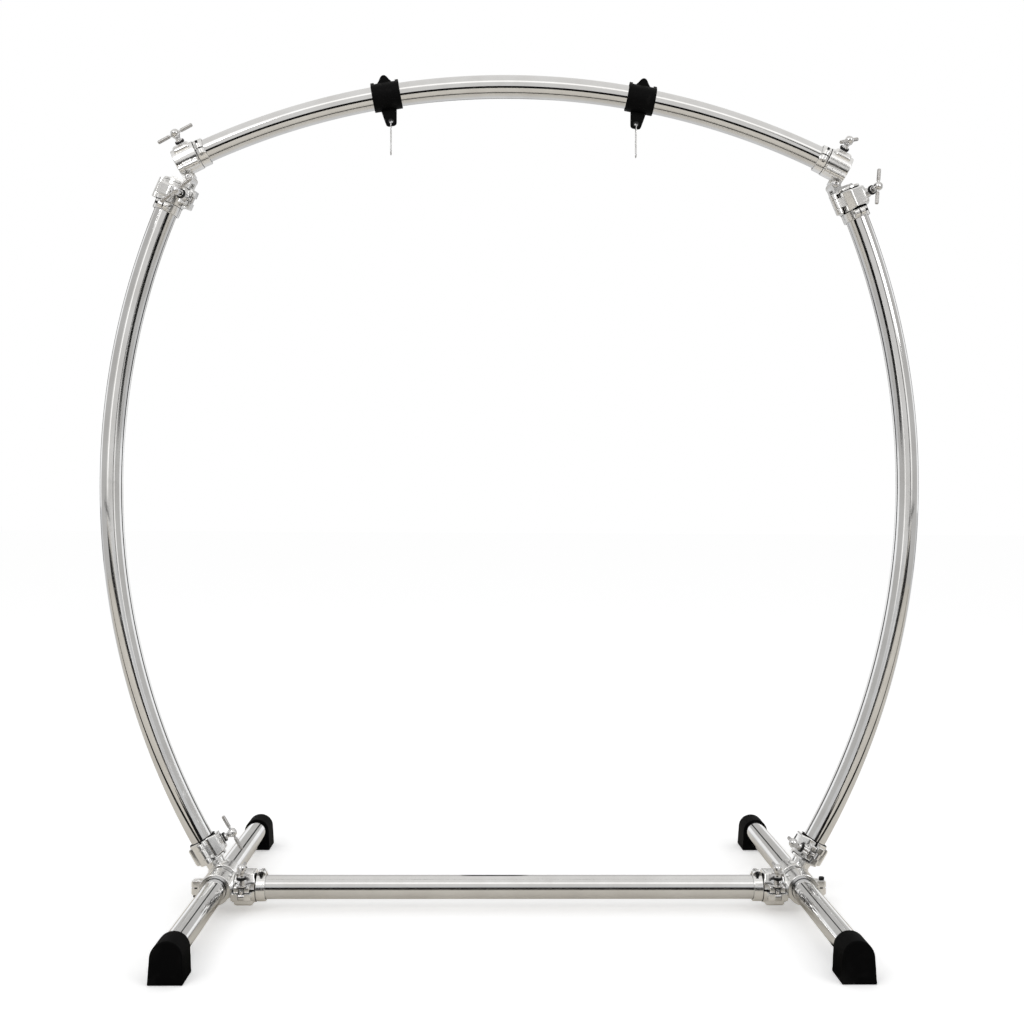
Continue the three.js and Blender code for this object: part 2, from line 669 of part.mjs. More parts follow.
// Top corners: the lower clamp closes the upright's end, and the upper one pivots on it and holds the arch
const topClampTurn = { left: THREE.MathUtils.degToRad(20), right: THREE.MathUtils.degToRad(25) };
const topClampHand = -1;
const topBarAngle = THREE.MathUtils.degToRad(124);
const archBarAngle = { left: THREE.MathUtils.degToRad(80), right: THREE.MathUtils.degToRad(26) };
const archClampTilt = { left: THREE.MathUtils.degToRad(35), right: THREE.MathUtils.degToRad(38) };
for (const side of [-1, 1]) {
  const name = sideName(side);
  const archAt = side * archClampAngle;
  const archCentre = archPoint(archAt);
  const outAlong = archRight(archAt).multiplyScalar(side);
  const pivot = pivotPoint(side);

  const tilt = archClampTilt[name];
  const upperBoltUp = archUp(archAt).multiplyScalar(Math.cos(tilt))
    .addScaledVector(towardsViewer, Math.sin(tilt));
  const upperFrame = clampFrame(archCentre, outAlong, upperBoltUp);
  const upperHand = upperFrame.elements[1] < 0 ? -1 : 1;
  const upperInverse = upperFrame.clone().invert();
  const pivotInUpper = pivot.clone().applyMatrix4(upperInverse);
  const acrossUpper = towardsViewer.clone().transformDirection(upperInverse);
  const stemHalf = pivotRadius;
  const stemAxis = archUp(archAt).negate().transformDirection(upperInverse);
  const stemSide = new THREE.Vector3().crossVectors(stemAxis, new THREE.Vector3(0, 0, 1));
  const stemFrame = new THREE.Matrix4().makeBasis(stemAxis, new THREE.Vector3(0, 0, 1), stemSide);
  const stemShape = geometryOf(slab(
    boreRadius + boreClearance, pivotDrop, pivotInUpper.z - stemHalf, pivotInUpper.z + stemHalf,
    -pivotMiddle / 2, pivotMiddle / 2,
  ));
  stemShape.applyMatrix4(stemFrame);
  const stem = solid(stemShape);
  const upperKnuckle = barAlong(
    acrossUpper, pivotRadius, -pivotMiddle / 2, pivotMiddle / 2, bodySides, pivotInUpper,
  );
  const pivotHole = pivotBoltRadius + pinClearance;
  const upperPivotHole = barAlong(acrossUpper, pivotHole, -clampWidth, clampWidth, smallSides, pivotInUpper);
  addClamp(`arch_clamp_${name}`, upperFrame, upperHand, {
    closedEnd: false,
    hasBack: false,
    barAngle: archBarAngle[name],
    extra: [upperKnuckle, stem],
    cuts: [upperPivotHole],
  });

  const uprightAt = uprightPoint(side, uprightTopAngle);
  const up = uprightUp(side, uprightTopAngle);
  const turn = topClampTurn[name];
  const boltUp = towardsViewer.clone().multiplyScalar(Math.cos(turn))
    .addScaledVector(uprightInward(side, uprightTopAngle), -Math.sin(turn));
  const lowerFrame = clampFrame(uprightAt, up, boltUp);
  const lowerInverse = lowerFrame.clone().invert();
  const pivotInLower = pivot.clone().applyMatrix4(lowerInverse);
  const acrossLower = towardsViewer.clone().transformDirection(lowerInverse);
  const sideways = uprightInward(side, uprightTopAngle).transformDirection(lowerInverse);
  const armSide = new THREE.Vector3().crossVectors(sideways, new THREE.Vector3(0, 0, 1));
  const armFrame = new THREE.Matrix4().makeBasis(sideways, new THREE.Vector3(0, 0, 1), armSide);
  const armTip = pivotInLower.dot(sideways);
  const armOutline = polygon([
    [-clampRadius * armShares.root, clampHalf - endPlate / 2], [armTip, clampHalf - endPlate / 2],
    [armTip + pivotRadius * armShares.side, pivotInLower.z],
    [armTip, pivotInLower.z + pivotRadius * armShares.tip],
    [armTip - pivotRadius, clampHalf + pivotArmThickness],
    [-clampRadius * armShares.back, clampHalf + pivotArmThickness * armShares.shoulder],
  ]);
  const arms = [];
  for (const end of [-1, 1]) {
    const start = pivotMiddle / 2 + seatGap;
    const low = Math.min(end * start, end * (start + pivotOuter));
    const arm = geometryOf(prism(armOutline, low, low + pivotOuter));
    arm.applyMatrix4(armFrame);
    arms.push(solid(arm));
    arms.push(barAlong(acrossLower, pivotRadius, low, low + pivotOuter, bodySides, pivotInLower));
  }
  addClamp(`upright_top_clamp_${name}`, lowerFrame, topClampHand, {
    barAngle: topBarAngle,
    extra: arms,
    cuts: [barAlong(acrossLower, pivotHole, -clampWidth, clampWidth, smallSides, pivotInLower)],
  });

  const boltHalf = pivotMiddle / 2 + seatGap + pivotOuter + seatGap;
  const depth = towardsViewer;
  const shaftHalf = boltHalf + pivotHeadHeight / 2;
  addMesh(`pivot_bolt_${name}`, geometryOf(joined(
    barAlong(depth, pivotBoltRadius, -shaftHalf, shaftHalf, smallSides, pivot),
    barAlong(depth, pivotHeadRadius, boltHalf, boltHalf + pivotHeadHeight, smallSides, pivot),
    barAlong(depth, pivotHeadRadius, -boltHalf - pivotHeadHeight, -boltHalf, smallSides, pivot),
  )), blackSteel);

  const lockArc = lockCentre / arcRadius;
  const archLockAt = side * (archClampAngle - lockArc);
  addLock(`memory_lock_arch_${name}`, lockFrame(
    archPoint(archLockAt), archRight(archLockAt).negate(), towardsViewer,
  ));
  const uprightLockAt = uprightTopAngle - lockArc;
  addLock(`memory_lock_upright_${name}`, lockFrame(
    uprightPoint(side, uprightLockAt), uprightUp(side, uprightLockAt).multiplyScalar(side), towardsViewer,
  ));
}

// Leather hangers: a strap wraps the arch, a sleeve goes over it, and a wire link hangs in its eyelet
const strapInner = tubeRadius;
const strapOuter = strapInner + strapThickness;
const sleeveInner = strapOuter + leatherGap - leatherEase;
const sleeveOuter = sleeveInner + sleeveThickness;
const eyeletDrop = tabFootReach - eyeletRise;

function wireLink() {
  const half = (linkWidth - 2 * linkWireRadius) / 2;
  const run = linkLength - 2 * linkWireRadius - 2 * half;
  const points = [];
  points.push(new THREE.Vector3(0, linkOpening, -run - half));
  for (let i = 1; i <= linkBendSteps; i += 1) {
    const angle = (Math.PI * i) / linkBendSteps / 2;
    points.push(new THREE.Vector3(0, half * Math.sin(angle), -run - half * Math.cos(angle)));
  }
  for (let i = 0; i <= 2 * linkBendSteps; i += 1) {
    const angle = (Math.PI * i) / linkBendSteps / 2;
    points.push(new THREE.Vector3(0, half * Math.cos(angle), half * Math.sin(angle)));
  }
  for (let i = 0; i < linkBendSteps; i += 1) {
    const angle = (Math.PI * i) / linkBendSteps / 2;
    points.push(new THREE.Vector3(0, -half * Math.cos(angle), -run - half * Math.sin(angle)));
  }
  points.push(new THREE.Vector3(0, -linkOpening, -run - half));
  const section = new THREE.Shape();
  for (let i = 0; i < linkSides; i += 1) {
    const angle = (2 * Math.PI * i) / linkSides;
    const pen = i === 0 ? 'moveTo' : 'lineTo';
    section[pen](linkWireRadius * Math.cos(angle), linkWireRadius * Math.sin(angle));
  }
  const curve = new THREE.CatmullRomCurve3(points, false, 'centripetal');
  const geometry = new THREE.ExtrudeGeometry(section, { steps: linkSteps, extrudePath: curve });
  const faceHalf = tabThickness / 2 + seatGap + eyeletFlangeHeight;
  const bendDrop = half - Math.sqrt(half * half - faceHalf * faceHalf);
  const holeFloor = eyeletHoleRadius * Math.cos(Math.PI / smallSides);
  geometry.translate(0, 0, bendDrop + linkWireRadius + seatGap + linkOpening - holeFloor - half);
  return geometry;
}

for (const side of [-1, 1]) {
  const name = sideName(side);
  const angle = side * hangerAngle;
  const frame = new THREE.Matrix4().makeBasis(
    archRight(angle), new THREE.Vector3(0, 1, 0), archUp(angle),
  ).setPosition(archPoint(angle));
  const along = new THREE.Vector3(1, 0, 0);
  const centre = new THREE.Vector3();
  const halfStrap = strapWidth / 2;
  const tabs = new THREE.Shape();
  tabs.moveTo(-halfStrap, 0);
  tabs.lineTo(-tabTopHalfWidth, sleeveOuter);
  tabs.quadraticCurveTo(-tabTopHalfWidth * tabPeakShare, tabTopReach, 0, tabTopReach);
  tabs.quadraticCurveTo(tabTopHalfWidth * tabPeakShare, tabTopReach, tabTopHalfWidth, sleeveOuter);
  tabs.lineTo(halfStrap, 0);
  tabs.lineTo(tabTopHalfWidth, -sleeveOuter);
  tabs.lineTo(tabFootHalfWidth, -tabFootReach + tabFootHalfWidth / 2);
  tabs.quadraticCurveTo(tabFootHalfWidth, -tabFootReach, tabFootHalfWidth / 2, -tabFootReach);
  tabs.lineTo(-tabFootHalfWidth / 2, -tabFootReach);
  tabs.quadraticCurveTo(
    -tabFootHalfWidth, -tabFootReach, -tabFootHalfWidth, -tabFootReach + tabFootHalfWidth / 2,
  );
  tabs.lineTo(-tabTopHalfWidth, -sleeveOuter);
  const plate = new THREE.ExtrudeGeometry(tabs, {
    depth: tabThickness, bevelEnabled: false, curveSegments: tabCurveSteps,
  });
  plate.translate(0, 0, -tabThickness / 2);
  plate.rotateX(Math.PI / 2);
  const hole = new THREE.Vector3(0, 0, -eyeletDrop);
  const through = new THREE.Vector3(0, 1, 0);
  const barrelRadius = eyeletHoleRadius + eyeletFlangeHeight;
  const strap = cut(
    barAlong(along, strapOuter, -halfStrap, halfStrap, bodySides, centre).add(solid(plate)),
    barAlong(along, strapInner + leatherEase, -strapWidth, strapWidth, bodySides, centre),
    barAlong(through, barrelRadius + pinClearance, -tabThickness, tabThickness, smallSides, hole),
  );
  addMesh(`hanger_strap_${name}`, geometryOf(strap), leather, frame);

  const slotHalf = tabThickness / 2 + leatherGap;
  const slot = new THREE.BoxGeometry(strapWidth + 2 * leatherGap, 2 * slotHalf, 4 * sleeveOuter);
  const sleeve = cut(
    barAlong(along, sleeveOuter, -sleeveLength / 2, sleeveLength / 2, bodySides, centre),
    barAlong(along, sleeveInner + leatherEase, -sleeveLength, sleeveLength, bodySides, centre),
    solid(slot),
  );
  addMesh(`hanger_sleeve_${name}`, geometryOf(sleeve), leather, frame);

  const faceAt = tabThickness / 2 + seatGap;
  const barrelHalf = faceAt + eyeletFlangeHeight / 2;
  const eyelet = cut(
    joined(
      barAlong(through, barrelRadius, -barrelHalf, barrelHalf, smallSides, hole),
      barAlong(through, eyeletFlangeRadius, faceAt, faceAt + eyeletFlangeHeight, smallSides, hole),
      barAlong(through, eyeletFlangeRadius, -faceAt - eyeletFlangeHeight, -faceAt, smallSides, hole),
    ),
    barAlong(through, eyeletHoleRadius, -tabThickness, tabThickness, smallSides, hole),
  );
  addMesh(`hanger_eyelet_${name}`, geometryOf(eyelet), blackSteel, frame);

  const link = addMesh(`wire_link_${name}`, wireLink(), wire);
  link.position.copy(hole.clone().applyMatrix4(frame));
}

// The frame was built about the plane of its uprights, and the origin lies under the middle of its base
for (const mesh of stand.children) mesh.position.y += frameSetBack;

export default stand;
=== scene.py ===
import json
import math

import bmesh
import bpy
from mathutils import Matrix, Vector


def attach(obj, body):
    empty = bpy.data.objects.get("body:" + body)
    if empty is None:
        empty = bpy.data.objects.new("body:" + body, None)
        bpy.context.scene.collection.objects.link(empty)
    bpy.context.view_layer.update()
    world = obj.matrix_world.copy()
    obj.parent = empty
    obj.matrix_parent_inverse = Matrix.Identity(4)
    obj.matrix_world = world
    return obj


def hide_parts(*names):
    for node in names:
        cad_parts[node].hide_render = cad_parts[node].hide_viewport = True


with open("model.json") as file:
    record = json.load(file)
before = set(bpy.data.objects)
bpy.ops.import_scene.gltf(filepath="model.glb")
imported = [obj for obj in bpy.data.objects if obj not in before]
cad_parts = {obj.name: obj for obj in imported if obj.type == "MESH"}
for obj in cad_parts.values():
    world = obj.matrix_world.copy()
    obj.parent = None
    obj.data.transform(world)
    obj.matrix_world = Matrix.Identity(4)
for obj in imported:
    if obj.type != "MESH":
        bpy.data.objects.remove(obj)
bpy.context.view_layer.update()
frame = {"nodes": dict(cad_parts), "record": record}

# Sizes of the stand in millimetres, as the CAD gives them
TUBE_RADIUS = 19.05
TUBE_WALL = 1.8
FACET_DEPTH = 0.18
BEND_RADIUS = 1219.2
FRAME_HALF_WIDTH = 668
UPRIGHT_TOP = math.radians(23.5)
UPRIGHT_FOOT = math.radians(-30)
BASE_LENGTH = 690
BASE_HEIGHT = 36
HANGER_SPACING = 213
CROSSBAR_FORWARD = 55
SET_BACK = 19
CLAMP_WIDTH = 39
CLAMP_RADIUS = 23.8
BORE_RADIUS = TUBE_RADIUS + 0.8
HALF_SPLIT = 0.4
GAP = 0.3
END_PLATE = 4
BOLT_OFFSET = 32
HINGE_OFFSET = 31
BOLT_PIN_DROP = 6
UPRIGHT_REACH = 53.6
CROSSBAR_REACH = 46
PIVOT_RISE = 32.2
PIVOT_INSET = 16.8
PIVOT_BACK = 10
PIVOT_DROP = 32
PIVOT_RADIUS = 7.5
PIVOT_MIDDLE = 16
PIVOT_OUTER = 9.5
LOCK_CENTRE = CLAMP_WIDTH / 2 + 8
LEFT, RIGHT = -1, 1
SIDES = ((LEFT, "left"), (RIGHT, "right"))
UP = Vector((0, 0, 1))
TO_VIEWER = Vector((0, -1, 0))
TO_METRES = Matrix.Scale(0.001, 4)


# Workbench: one piece at a time, made with Blender's own modelling tools

def put_tools_down():
    if bpy.context.object and bpy.context.object.mode != "OBJECT":
        bpy.ops.object.mode_set(mode="OBJECT")
    bpy.ops.object.select_all(action="DESELECT")


def take_up(*pieces):
    put_tools_down()
    for piece in pieces:
        piece.select_set(True)
    bpy.context.view_layer.objects.active = pieces[0]


def start(primitive, **options):
    put_tools_down()
    getattr(bpy.ops.mesh, f"primitive_{primitive}_add")(**options)
    return bpy.context.object


def pick(piece, kind, wanted):
    """Selects the faces, edges or corners of the piece in edit mode that the rule wants."""
    take_up(piece)
    bpy.ops.object.mode_set(mode="EDIT")
    bpy.ops.mesh.select_mode(type={"faces": "FACE", "edges": "EDGE", "verts": "VERT"}[kind])
    bpy.ops.mesh.select_all(action="DESELECT")
    mesh = bmesh.from_edit_mesh(piece.data)
    for element in getattr(mesh, kind):
        if wanted(element):
            element.select_set(True)
    mesh.select_flush(True)
    bmesh.update_edit_mesh(piece.data)


def facing(direction, least=0.99):
    aim = Vector(direction).normalized()
    return lambda face: face.normal.dot(aim) > least


def apply_place(piece):
    take_up(piece)
    bpy.ops.object.transform_apply(location=True, rotation=True, scale=True)
    return piece


def moved(piece, place):
    piece.matrix_world = place
    return apply_place(piece)


def finish_with(piece, kind, **settings):
    """Adds one modifier with its settings and applies it."""
    take_up(piece)
    modifier = piece.modifiers.new(kind.lower(), kind)
    for key, value in settings.items():
        setattr(modifier, key, value)
    bpy.ops.object.modifier_apply(modifier=modifier.name)
    return piece


def weld(piece, *others):
    for other in others:
        finish_with(piece, "BOOLEAN", object=other, operation="UNION", solver="EXACT")
        bpy.data.objects.remove(other)
    return piece


def machine(piece, *cutters):
    for cutter in cutters:
        finish_with(piece, "BOOLEAN", object=cutter, operation="DIFFERENCE", solver="EXACT")
        bpy.data.objects.remove(cutter)
    return piece


def block(x, y, z):
    """A block between two values of each of x, y and z."""
    middle = [(low + high) / 2 for low, high in (x, y, z)]
    size = [abs(high - low) for low, high in (x, y, z)]
    return apply_place(start("cube", size=1, location=middle, scale=size))


def rod(radius, low, high, along=UP, at=(0, 0, 0), sides=48):
    along = Vector(along).normalized()
    turn = UP.rotation_difference(along).to_euler()
    return apply_place(start(
        "cylinder", vertices=sides, radius=radius, depth=high - low,
        location=Vector(at) + along * (low + high) / 2, rotation=turn,
    ))


def ease(piece, width, segments=3, angle=30):
    return finish_with(
        piece, "BEVEL", width=width, segments=segments, limit_method="ANGLE", angle_limit=math.radians(angle),
    )


def merged(piece, distance, burr=0):
    """Joins corners that lie on one another, dissolves burrs and turns the faces outwards."""
    take_up(piece)
    bpy.ops.object.mode_set(mode="EDIT")
    bpy.ops.mesh.select_mode(type="VERT")
    bpy.ops.mesh.select_all(action="SELECT")
    bpy.ops.mesh.remove_doubles(threshold=distance)
    if burr:
        bpy.ops.mesh.dissolve_degenerate(threshold=burr)
    bpy.ops.mesh.normals_make_consistent(inside=False)
    put_tools_down()
    return piece


def turned(steps, sides=48, ring=False, along=UP, at=(0, 0, 0)):
    """A piece turned on a lathe from (radius, height) steps; a ring goes back to its first step."""
    radius, height = steps[0]
    piece = start(
        "circle", vertices=sides, radius=radius, fill_type="NOTHING" if ring else "NGON", location=(0, 0, height),
    )
    bpy.ops.object.transform_apply(location=True)
    bpy.ops.object.mode_set(mode="EDIT")
    bpy.ops.mesh.select_mode(type="VERT")
    bpy.ops.mesh.select_all(action="SELECT")
    for next_radius, next_height in steps[1:] + (steps[:1] if ring else []):
        bpy.ops.mesh.extrude_region_move(TRANSFORM_OT_translate={"value": (0, 0, next_height - height)})
        share = next_radius / radius
        bpy.ops.transform.resize(value=(share, share, 1))
        radius, height = next_radius, next_height
    merged(piece, 0.001)
    along = Vector(along).normalized()
    return moved(piece, Matrix.Translation(at) @ UP.rotation_difference(along).to_matrix().to_4x4())


def dressed(piece):
    """Takes the burrs off a casting: corners that lie on one another and faces without area."""
    return merged(piece, 0.02, 0.02)


def copied(piece):
    take_up(piece)
    bpy.ops.object.duplicate(linked=False)
    return bpy.context.object


PATTERNS = {}


def repeat(maker, *choices):
    """A copy of a pattern, which is modelled once for each choice."""
    key = (maker, *choices)
    if key not in PATTERNS:
        PATTERNS[key] = maker(*choices)
    return copied(PATTERNS[key])


def smooth_shade(piece, angle=35):
    take_up(piece)
    bpy.ops.object.shade_smooth_by_angle(angle=math.radians(angle))
    return piece


def fit(piece, name, place, body, finish, stands_for=(), angle=35):
    """Puts a finished piece in its place on the stand, on its body, with its finish."""
    moved(piece, TO_METRES @ place)
    smooth_shade(piece, angle)
    finish_with(piece, "WEIGHTED_NORMAL", mode="FACE_AREA", weight=60, keep_sharp=True)
    piece.name = name
    piece.data.name = name
    piece.data.materials.clear()
    piece.data.materials.append(finish)
    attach(piece, body)
    if stands_for:
        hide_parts(*stands_for)
    return piece


# Places on the stand, in the way that the tubes are bent

UPRIGHT_CENTRE_HEIGHT = BASE_HEIGHT + UPRIGHT_REACH * math.cos(UPRIGHT_FOOT) - BEND_RADIUS * math.sin(UPRIGHT_FOOT)


def upright_point(side, angle):
    x = side * (BEND_RADIUS * (math.cos(angle) - 1) + FRAME_HALF_WIDTH)
    return Vector((x, SET_BACK, UPRIGHT_CENTRE_HEIGHT + BEND_RADIUS * math.sin(angle)))


def upright_up(side, angle):
    return Vector((-side * math.sin(angle), 0, math.cos(angle)))


def upright_inward(side, angle):
    return Vector((-side * math.cos(angle), 0, -math.sin(angle)))


def pivot_point(side):
    top = upright_point(side, UPRIGHT_TOP)
    return top + upright_up(side, UPRIGHT_TOP) * PIVOT_RISE + upright_inward(side, UPRIGHT_TOP) * PIVOT_INSET


PIVOT_ARC = math.hypot(BEND_RADIUS - PIVOT_DROP, PIVOT_BACK)
PIVOT_LEAD = math.atan2(PIVOT_BACK, BEND_RADIUS - PIVOT_DROP)
ARCH_CLAMP = math.asin(pivot_point(RIGHT).x / PIVOT_ARC) - PIVOT_LEAD
ARCH_CENTRE_HEIGHT = pivot_point(RIGHT).z - PIVOT_ARC * math.cos(ARCH_CLAMP + PIVOT_LEAD)
HANGER_ANGLE = math.asin(HANGER_SPACING / BEND_RADIUS)


def arch_point(angle):
    return Vector((BEND_RADIUS * math.sin(angle), SET_BACK, ARCH_CENTRE_HEIGHT + BEND_RADIUS * math.cos(angle)))


def arch_right(angle):
    return Vector((math.cos(angle), 0, -math.sin(angle)))


def arch_up(angle):
    return Vector((math.sin(angle), 0, math.cos(angle)))


def basis(x, y, z, centre):
    return Matrix.Translation(centre) @ Matrix((x, y, z)).transposed().to_4x4()


def clamp_place(centre, along, bolt_up):
    z = along.normalized()
    y = (bolt_up - z * bolt_up.dot(z)).normalized()
    return basis(y.cross(z), y, z, centre)


BASE_HALF_SPACING = upright_point(RIGHT, UPRIGHT_FOOT).x + UPRIGHT_REACH * math.sin(UPRIGHT_FOOT)


# Finishes

FIRST_COLOUR, SECOND_COLOUR = 6, 7  # inputs of the Mix node for colours
MIXED_COLOUR = 2  # its output


class Value:
    """The output of a node. Arithmetic on it adds Math nodes."""

    def __init__(self, finish, socket):
        self.finish = finish
        self.socket = socket

    def math(self, operation, *inputs):
        return self.finish.node("Math", {"operation": operation}, dict(enumerate(inputs)))

    def __add__(self, other):
        return self.math("ADD", self, other)

    def __sub__(self, other):
        return self.math("SUBTRACT", self, other)

    def __rsub__(self, other):
        return self.math("SUBTRACT", other, self)

    def __mul__(self, other):
        return self.math("MULTIPLY", self, other)

    def __pow__(self, other):
        return self.math("POWER", self, other)

    __radd__ = __add__
    __rmul__ = __mul__


class Finish:
    """The nodes of a new material, or of the world that is given."""

    def __init__(self, name, world=None):
        self.material = world or bpy.data.materials.new(name)
        self.material.use_nodes = True
        self.nodes = self.material.node_tree.nodes
        self.links = self.material.node_tree.links
        self.nodes.clear()

    def node(self, kind, settings=None, inputs=None, output=0):
        made = self.nodes.new(f"ShaderNode{kind}")
        for key, value in (settings or {}).items():
            setattr(made, key, value)
        for key, value in (inputs or {}).items():
            if isinstance(value, Value):
                self.links.new(value.socket, made.inputs[key])
            else:
                made.inputs[key].default_value = value
        return Value(self, made.outputs[output]) if made.outputs else made

    def place(self):
        return self.node("TexCoord", output="Object")

    def stretched(self, place, scale):
        return self.node("Mapping", inputs={"Vector": place, "Scale": scale})

    def noise(self, place, scale, detail=3, roughness=0.5):
        return self.node("TexNoise", inputs={
            "Vector": place, "Scale": scale, "Detail": detail, "Roughness": roughness,
        })

    def spread(self, value, low, high, new_low=0, new_high=1):
        return self.node("MapRange", {"clamp": True}, {
            "Value": value, "From Min": low, "From Max": high, "To Min": new_low, "To Max": new_high,
        })

    def mixed(self, factor, first, second):
        colours = {FIRST_COLOUR: first, SECOND_COLOUR: second}
        return self.node("Mix", {"data_type": "RGBA"}, {"Factor": factor, **colours}, output=MIXED_COLOUR)

    def bump(self, height, strength, distance, under=None):
        inputs = {"Height": height, "Strength": strength, "Distance": distance}
        if under:
            inputs["Normal"] = under
        return self.node("Bump", inputs=inputs)

    def surface(self, **inputs):
        shader = self.node("BsdfPrincipled", inputs={key.replace("_", " "): value for key, value in inputs.items()})
        self.node("OutputMaterial", inputs={"Surface": shader})
        return self.material


def rgb(red, green, blue):
    return (red, green, blue, 1)


def plated_tube(name, bend_centre=None, drawn=(900, 2, 900)):
    """Chrome plate on drawn tube: faint draw lines along the tube or its bend, polishing haze and finger marks."""
    finish = Finish(name)
    place = finish.place()
    if bend_centre:
        x, z = (value / 1000 for value in bend_centre)
        parts = {axis: finish.node("SeparateXYZ", inputs={0: place}, output=axis) for axis in "XYZ"}
        across, along = parts["X"] - x, parts["Z"] - z
        radius = (across * across + along * along) ** 0.5
        lap = along.math("ARCTAN2", along, across)
        grain = finish.node("CombineXYZ", inputs={"X": lap * 2.5, "Y": parts["Y"] * 900, "Z": radius * 900})
    else:
        grain = finish.stretched(place, drawn)
    lines = finish.noise(grain, 1, 4, 0.65)
    haze = finish.noise(place, 14, 4, 0.6)
    marks = finish.spread(finish.noise(place, 38, 2, 0.4), 0.6, 0.74)
    cells = finish.node("TexVoronoi", {"feature": "F1"}, {"Vector": place, "Scale": 420})
    pits = finish.spread(cells, 0.02, 0.06, 1, 0)
    colour = finish.mixed(finish.spread(haze, 0.3, 0.75), rgb(0.86, 0.865, 0.87), rgb(0.74, 0.735, 0.73))
    rough = 0.035 + finish.spread(lines, 0.35, 0.75) * 0.055 + haze * 0.03 + marks * 0.08
    relief = finish.bump(lines, 0.05, 0.0002)
    relief = finish.bump(pits, 0.12, 0.0001, relief)
    return finish.surface(Base_Color=colour, Metallic=1.0, Roughness=rough, Normal=relief)


def cast_plate():
    """Chromed zinc casting: soft ripples from polishing, duller in random patches."""
    finish = Finish("chromed casting")
    place = finish.place()
    ripple = finish.noise(place, 95, 2, 0.45)
    orange = finish.noise(place, 900, 3, 0.6)
    haze = finish.spread(finish.noise(place, 45, 4, 0.6), 0.3, 0.72)
    colour = finish.mixed(haze, rgb(0.97, 0.97, 0.97), rgb(0.88, 0.878, 0.87))
    rough = 0.13 + haze * 0.09 + orange * 0.04
    relief = finish.bump(ripple, 0.07, 0.001)
    relief = finish.bump(orange, 0.02, 0.0002, relief)
    return finish.surface(Base_Color=colour, Metallic=1.0, Roughness=rough, Normal=relief)


def turned_plate():
    """Chrome on turned steel, for the T-nuts and swing bolts."""
    finish = Finish("chromed steel")
    place = finish.place()
    fine = finish.noise(place, 1400, 3, 0.6)
    haze = finish.spread(finish.noise(place, 60, 3, 0.5), 0.3, 0.7)
    colour = finish.mixed(haze, rgb(0.84, 0.84, 0.85), rgb(0.7, 0.695, 0.69))
    rough = 0.09 + haze * 0.08 + fine * 0.04
    return finish.surface(Base_Color=colour, Metallic=1.0, Roughness=rough, Normal=finish.bump(fine, 0.12, 0.0002))


def knurled_grip():
    """Grip with fine rolled knurling, bright on its tips."""
    finish = Finish("knurled grip")
    place = finish.place()
    bands = {"wave_type": "BANDS", "bands_direction": "DIAGONAL"}
    knurls = finish.node("TexWave", bands, {"Vector": place, "Scale": 420})
    grain = finish.noise(place, 500, 3, 0.6)
    tips = finish.spread(knurls, 0.35, 0.8)
    colour = finish.mixed(tips, rgb(0.42, 0.41, 0.4), rgb(0.68, 0.67, 0.66))
    return finish.surface(
        Base_Color=colour, Metallic=1.0, Roughness=0.22 + grain * 0.14, Normal=finish.bump(knurls, 0.25, 0.0002),
    )


def oxide_black():
    """Black oxide on screws, rubbed grey in places."""
    finish = Finish("black oxide")
    place = finish.place()
    grain = finish.noise(place, 700, 4, 0.6)
    worn = finish.spread(finish.noise(place, 160, 3, 0.5), 0.6, 0.72)
    colour = finish.mixed(worn, rgb(0.006, 0.006, 0.0065), rgb(0.045, 0.044, 0.043))
    return finish.surface(
        Base_Color=colour, Metallic=0.2, Roughness=0.32 + grain * 0.2, Specular_IOR_Level=0.3,
        Normal=finish.bump(grain, 0.15, 0.0002),
    )


def moulded_rubber():
    """Matt black rubber with a fine eroded skin, dusty and scuffed near the floor."""
    finish = Finish("moulded rubber")
    place = finish.place()
    skin = finish.noise(place, 1500, 4, 0.65)
    cloud = finish.noise(place, 30, 4, 0.6)
    height = finish.node("SeparateXYZ", inputs={0: place}, output="Z")
    low = finish.spread(height, 0.0, 0.02, 1, 0)
    dust = finish.spread(cloud, 0.5, 0.75) * (0.35 + low * 0.65)
    colour = finish.mixed(dust, rgb(0.0016, 0.0016, 0.0017), rgb(0.008, 0.0078, 0.0075))
    return finish.surface(
        Base_Color=colour, Roughness=0.55 + skin * 0.22 + dust * 0.1, Specular_IOR_Level=0.04,
        Normal=finish.bump(skin, 0.25, 0.0004),
    )


def black_leather():
    """Vegetable-tanned strap leather, dyed black and lightly waxed: pebbled grain, creases and pale rubbed patches."""
    finish = Finish("black leather")
    place = finish.place()
    cells = finish.node("TexVoronoi", {"feature": "DISTANCE_TO_EDGE"}, {"Vector": place, "Scale": 820, "Randomness": 1})
    pebble = finish.spread(cells, 0.0, 0.16)
    crease = finish.spread(finish.noise(finish.stretched(place, (1, 1, 2.6)), 130, 5, 0.65), 0.52, 0.6, 1, 0)
    cloud = finish.noise(place, 55, 4, 0.6)
    rubbed = finish.spread(cloud, 0.56, 0.72)
    colour = finish.mixed(rubbed, rgb(0.0018, 0.0018, 0.0019), rgb(0.006, 0.0057, 0.0054))
    rough = 0.4 + cloud * 0.16 + (1 - pebble) * 0.14
    relief = finish.bump(pebble, 0.28, 0.0003)
    relief = finish.bump(crease, 0.2, 0.0004, relief)
    return finish.surface(Base_Color=colour, Roughness=rough, Normal=relief, Specular_IOR_Level=0.06)


def cut_edge_and_painted_highlight():
    """The cut edge of the leather, burnished and a little paler than its face. The paler colour is also a painted
    highlight on the seam ends at the top corners of the sleeves.
    """
    finish = Finish("leather edge")
    place = finish.place()
    fibre = finish.noise(place, 1800, 4, 0.7)
    colour = finish.mixed(finish.spread(fibre, 0.35, 0.7), rgb(0.01, 0.009, 0.009), rgb(0.035, 0.031, 0.028))
    return finish.surface(
        Base_Color=colour, Roughness=0.5 + fibre * 0.25, Specular_IOR_Level=0.2, Normal=finish.bump(fibre, 0.3, 0.0002),
    )


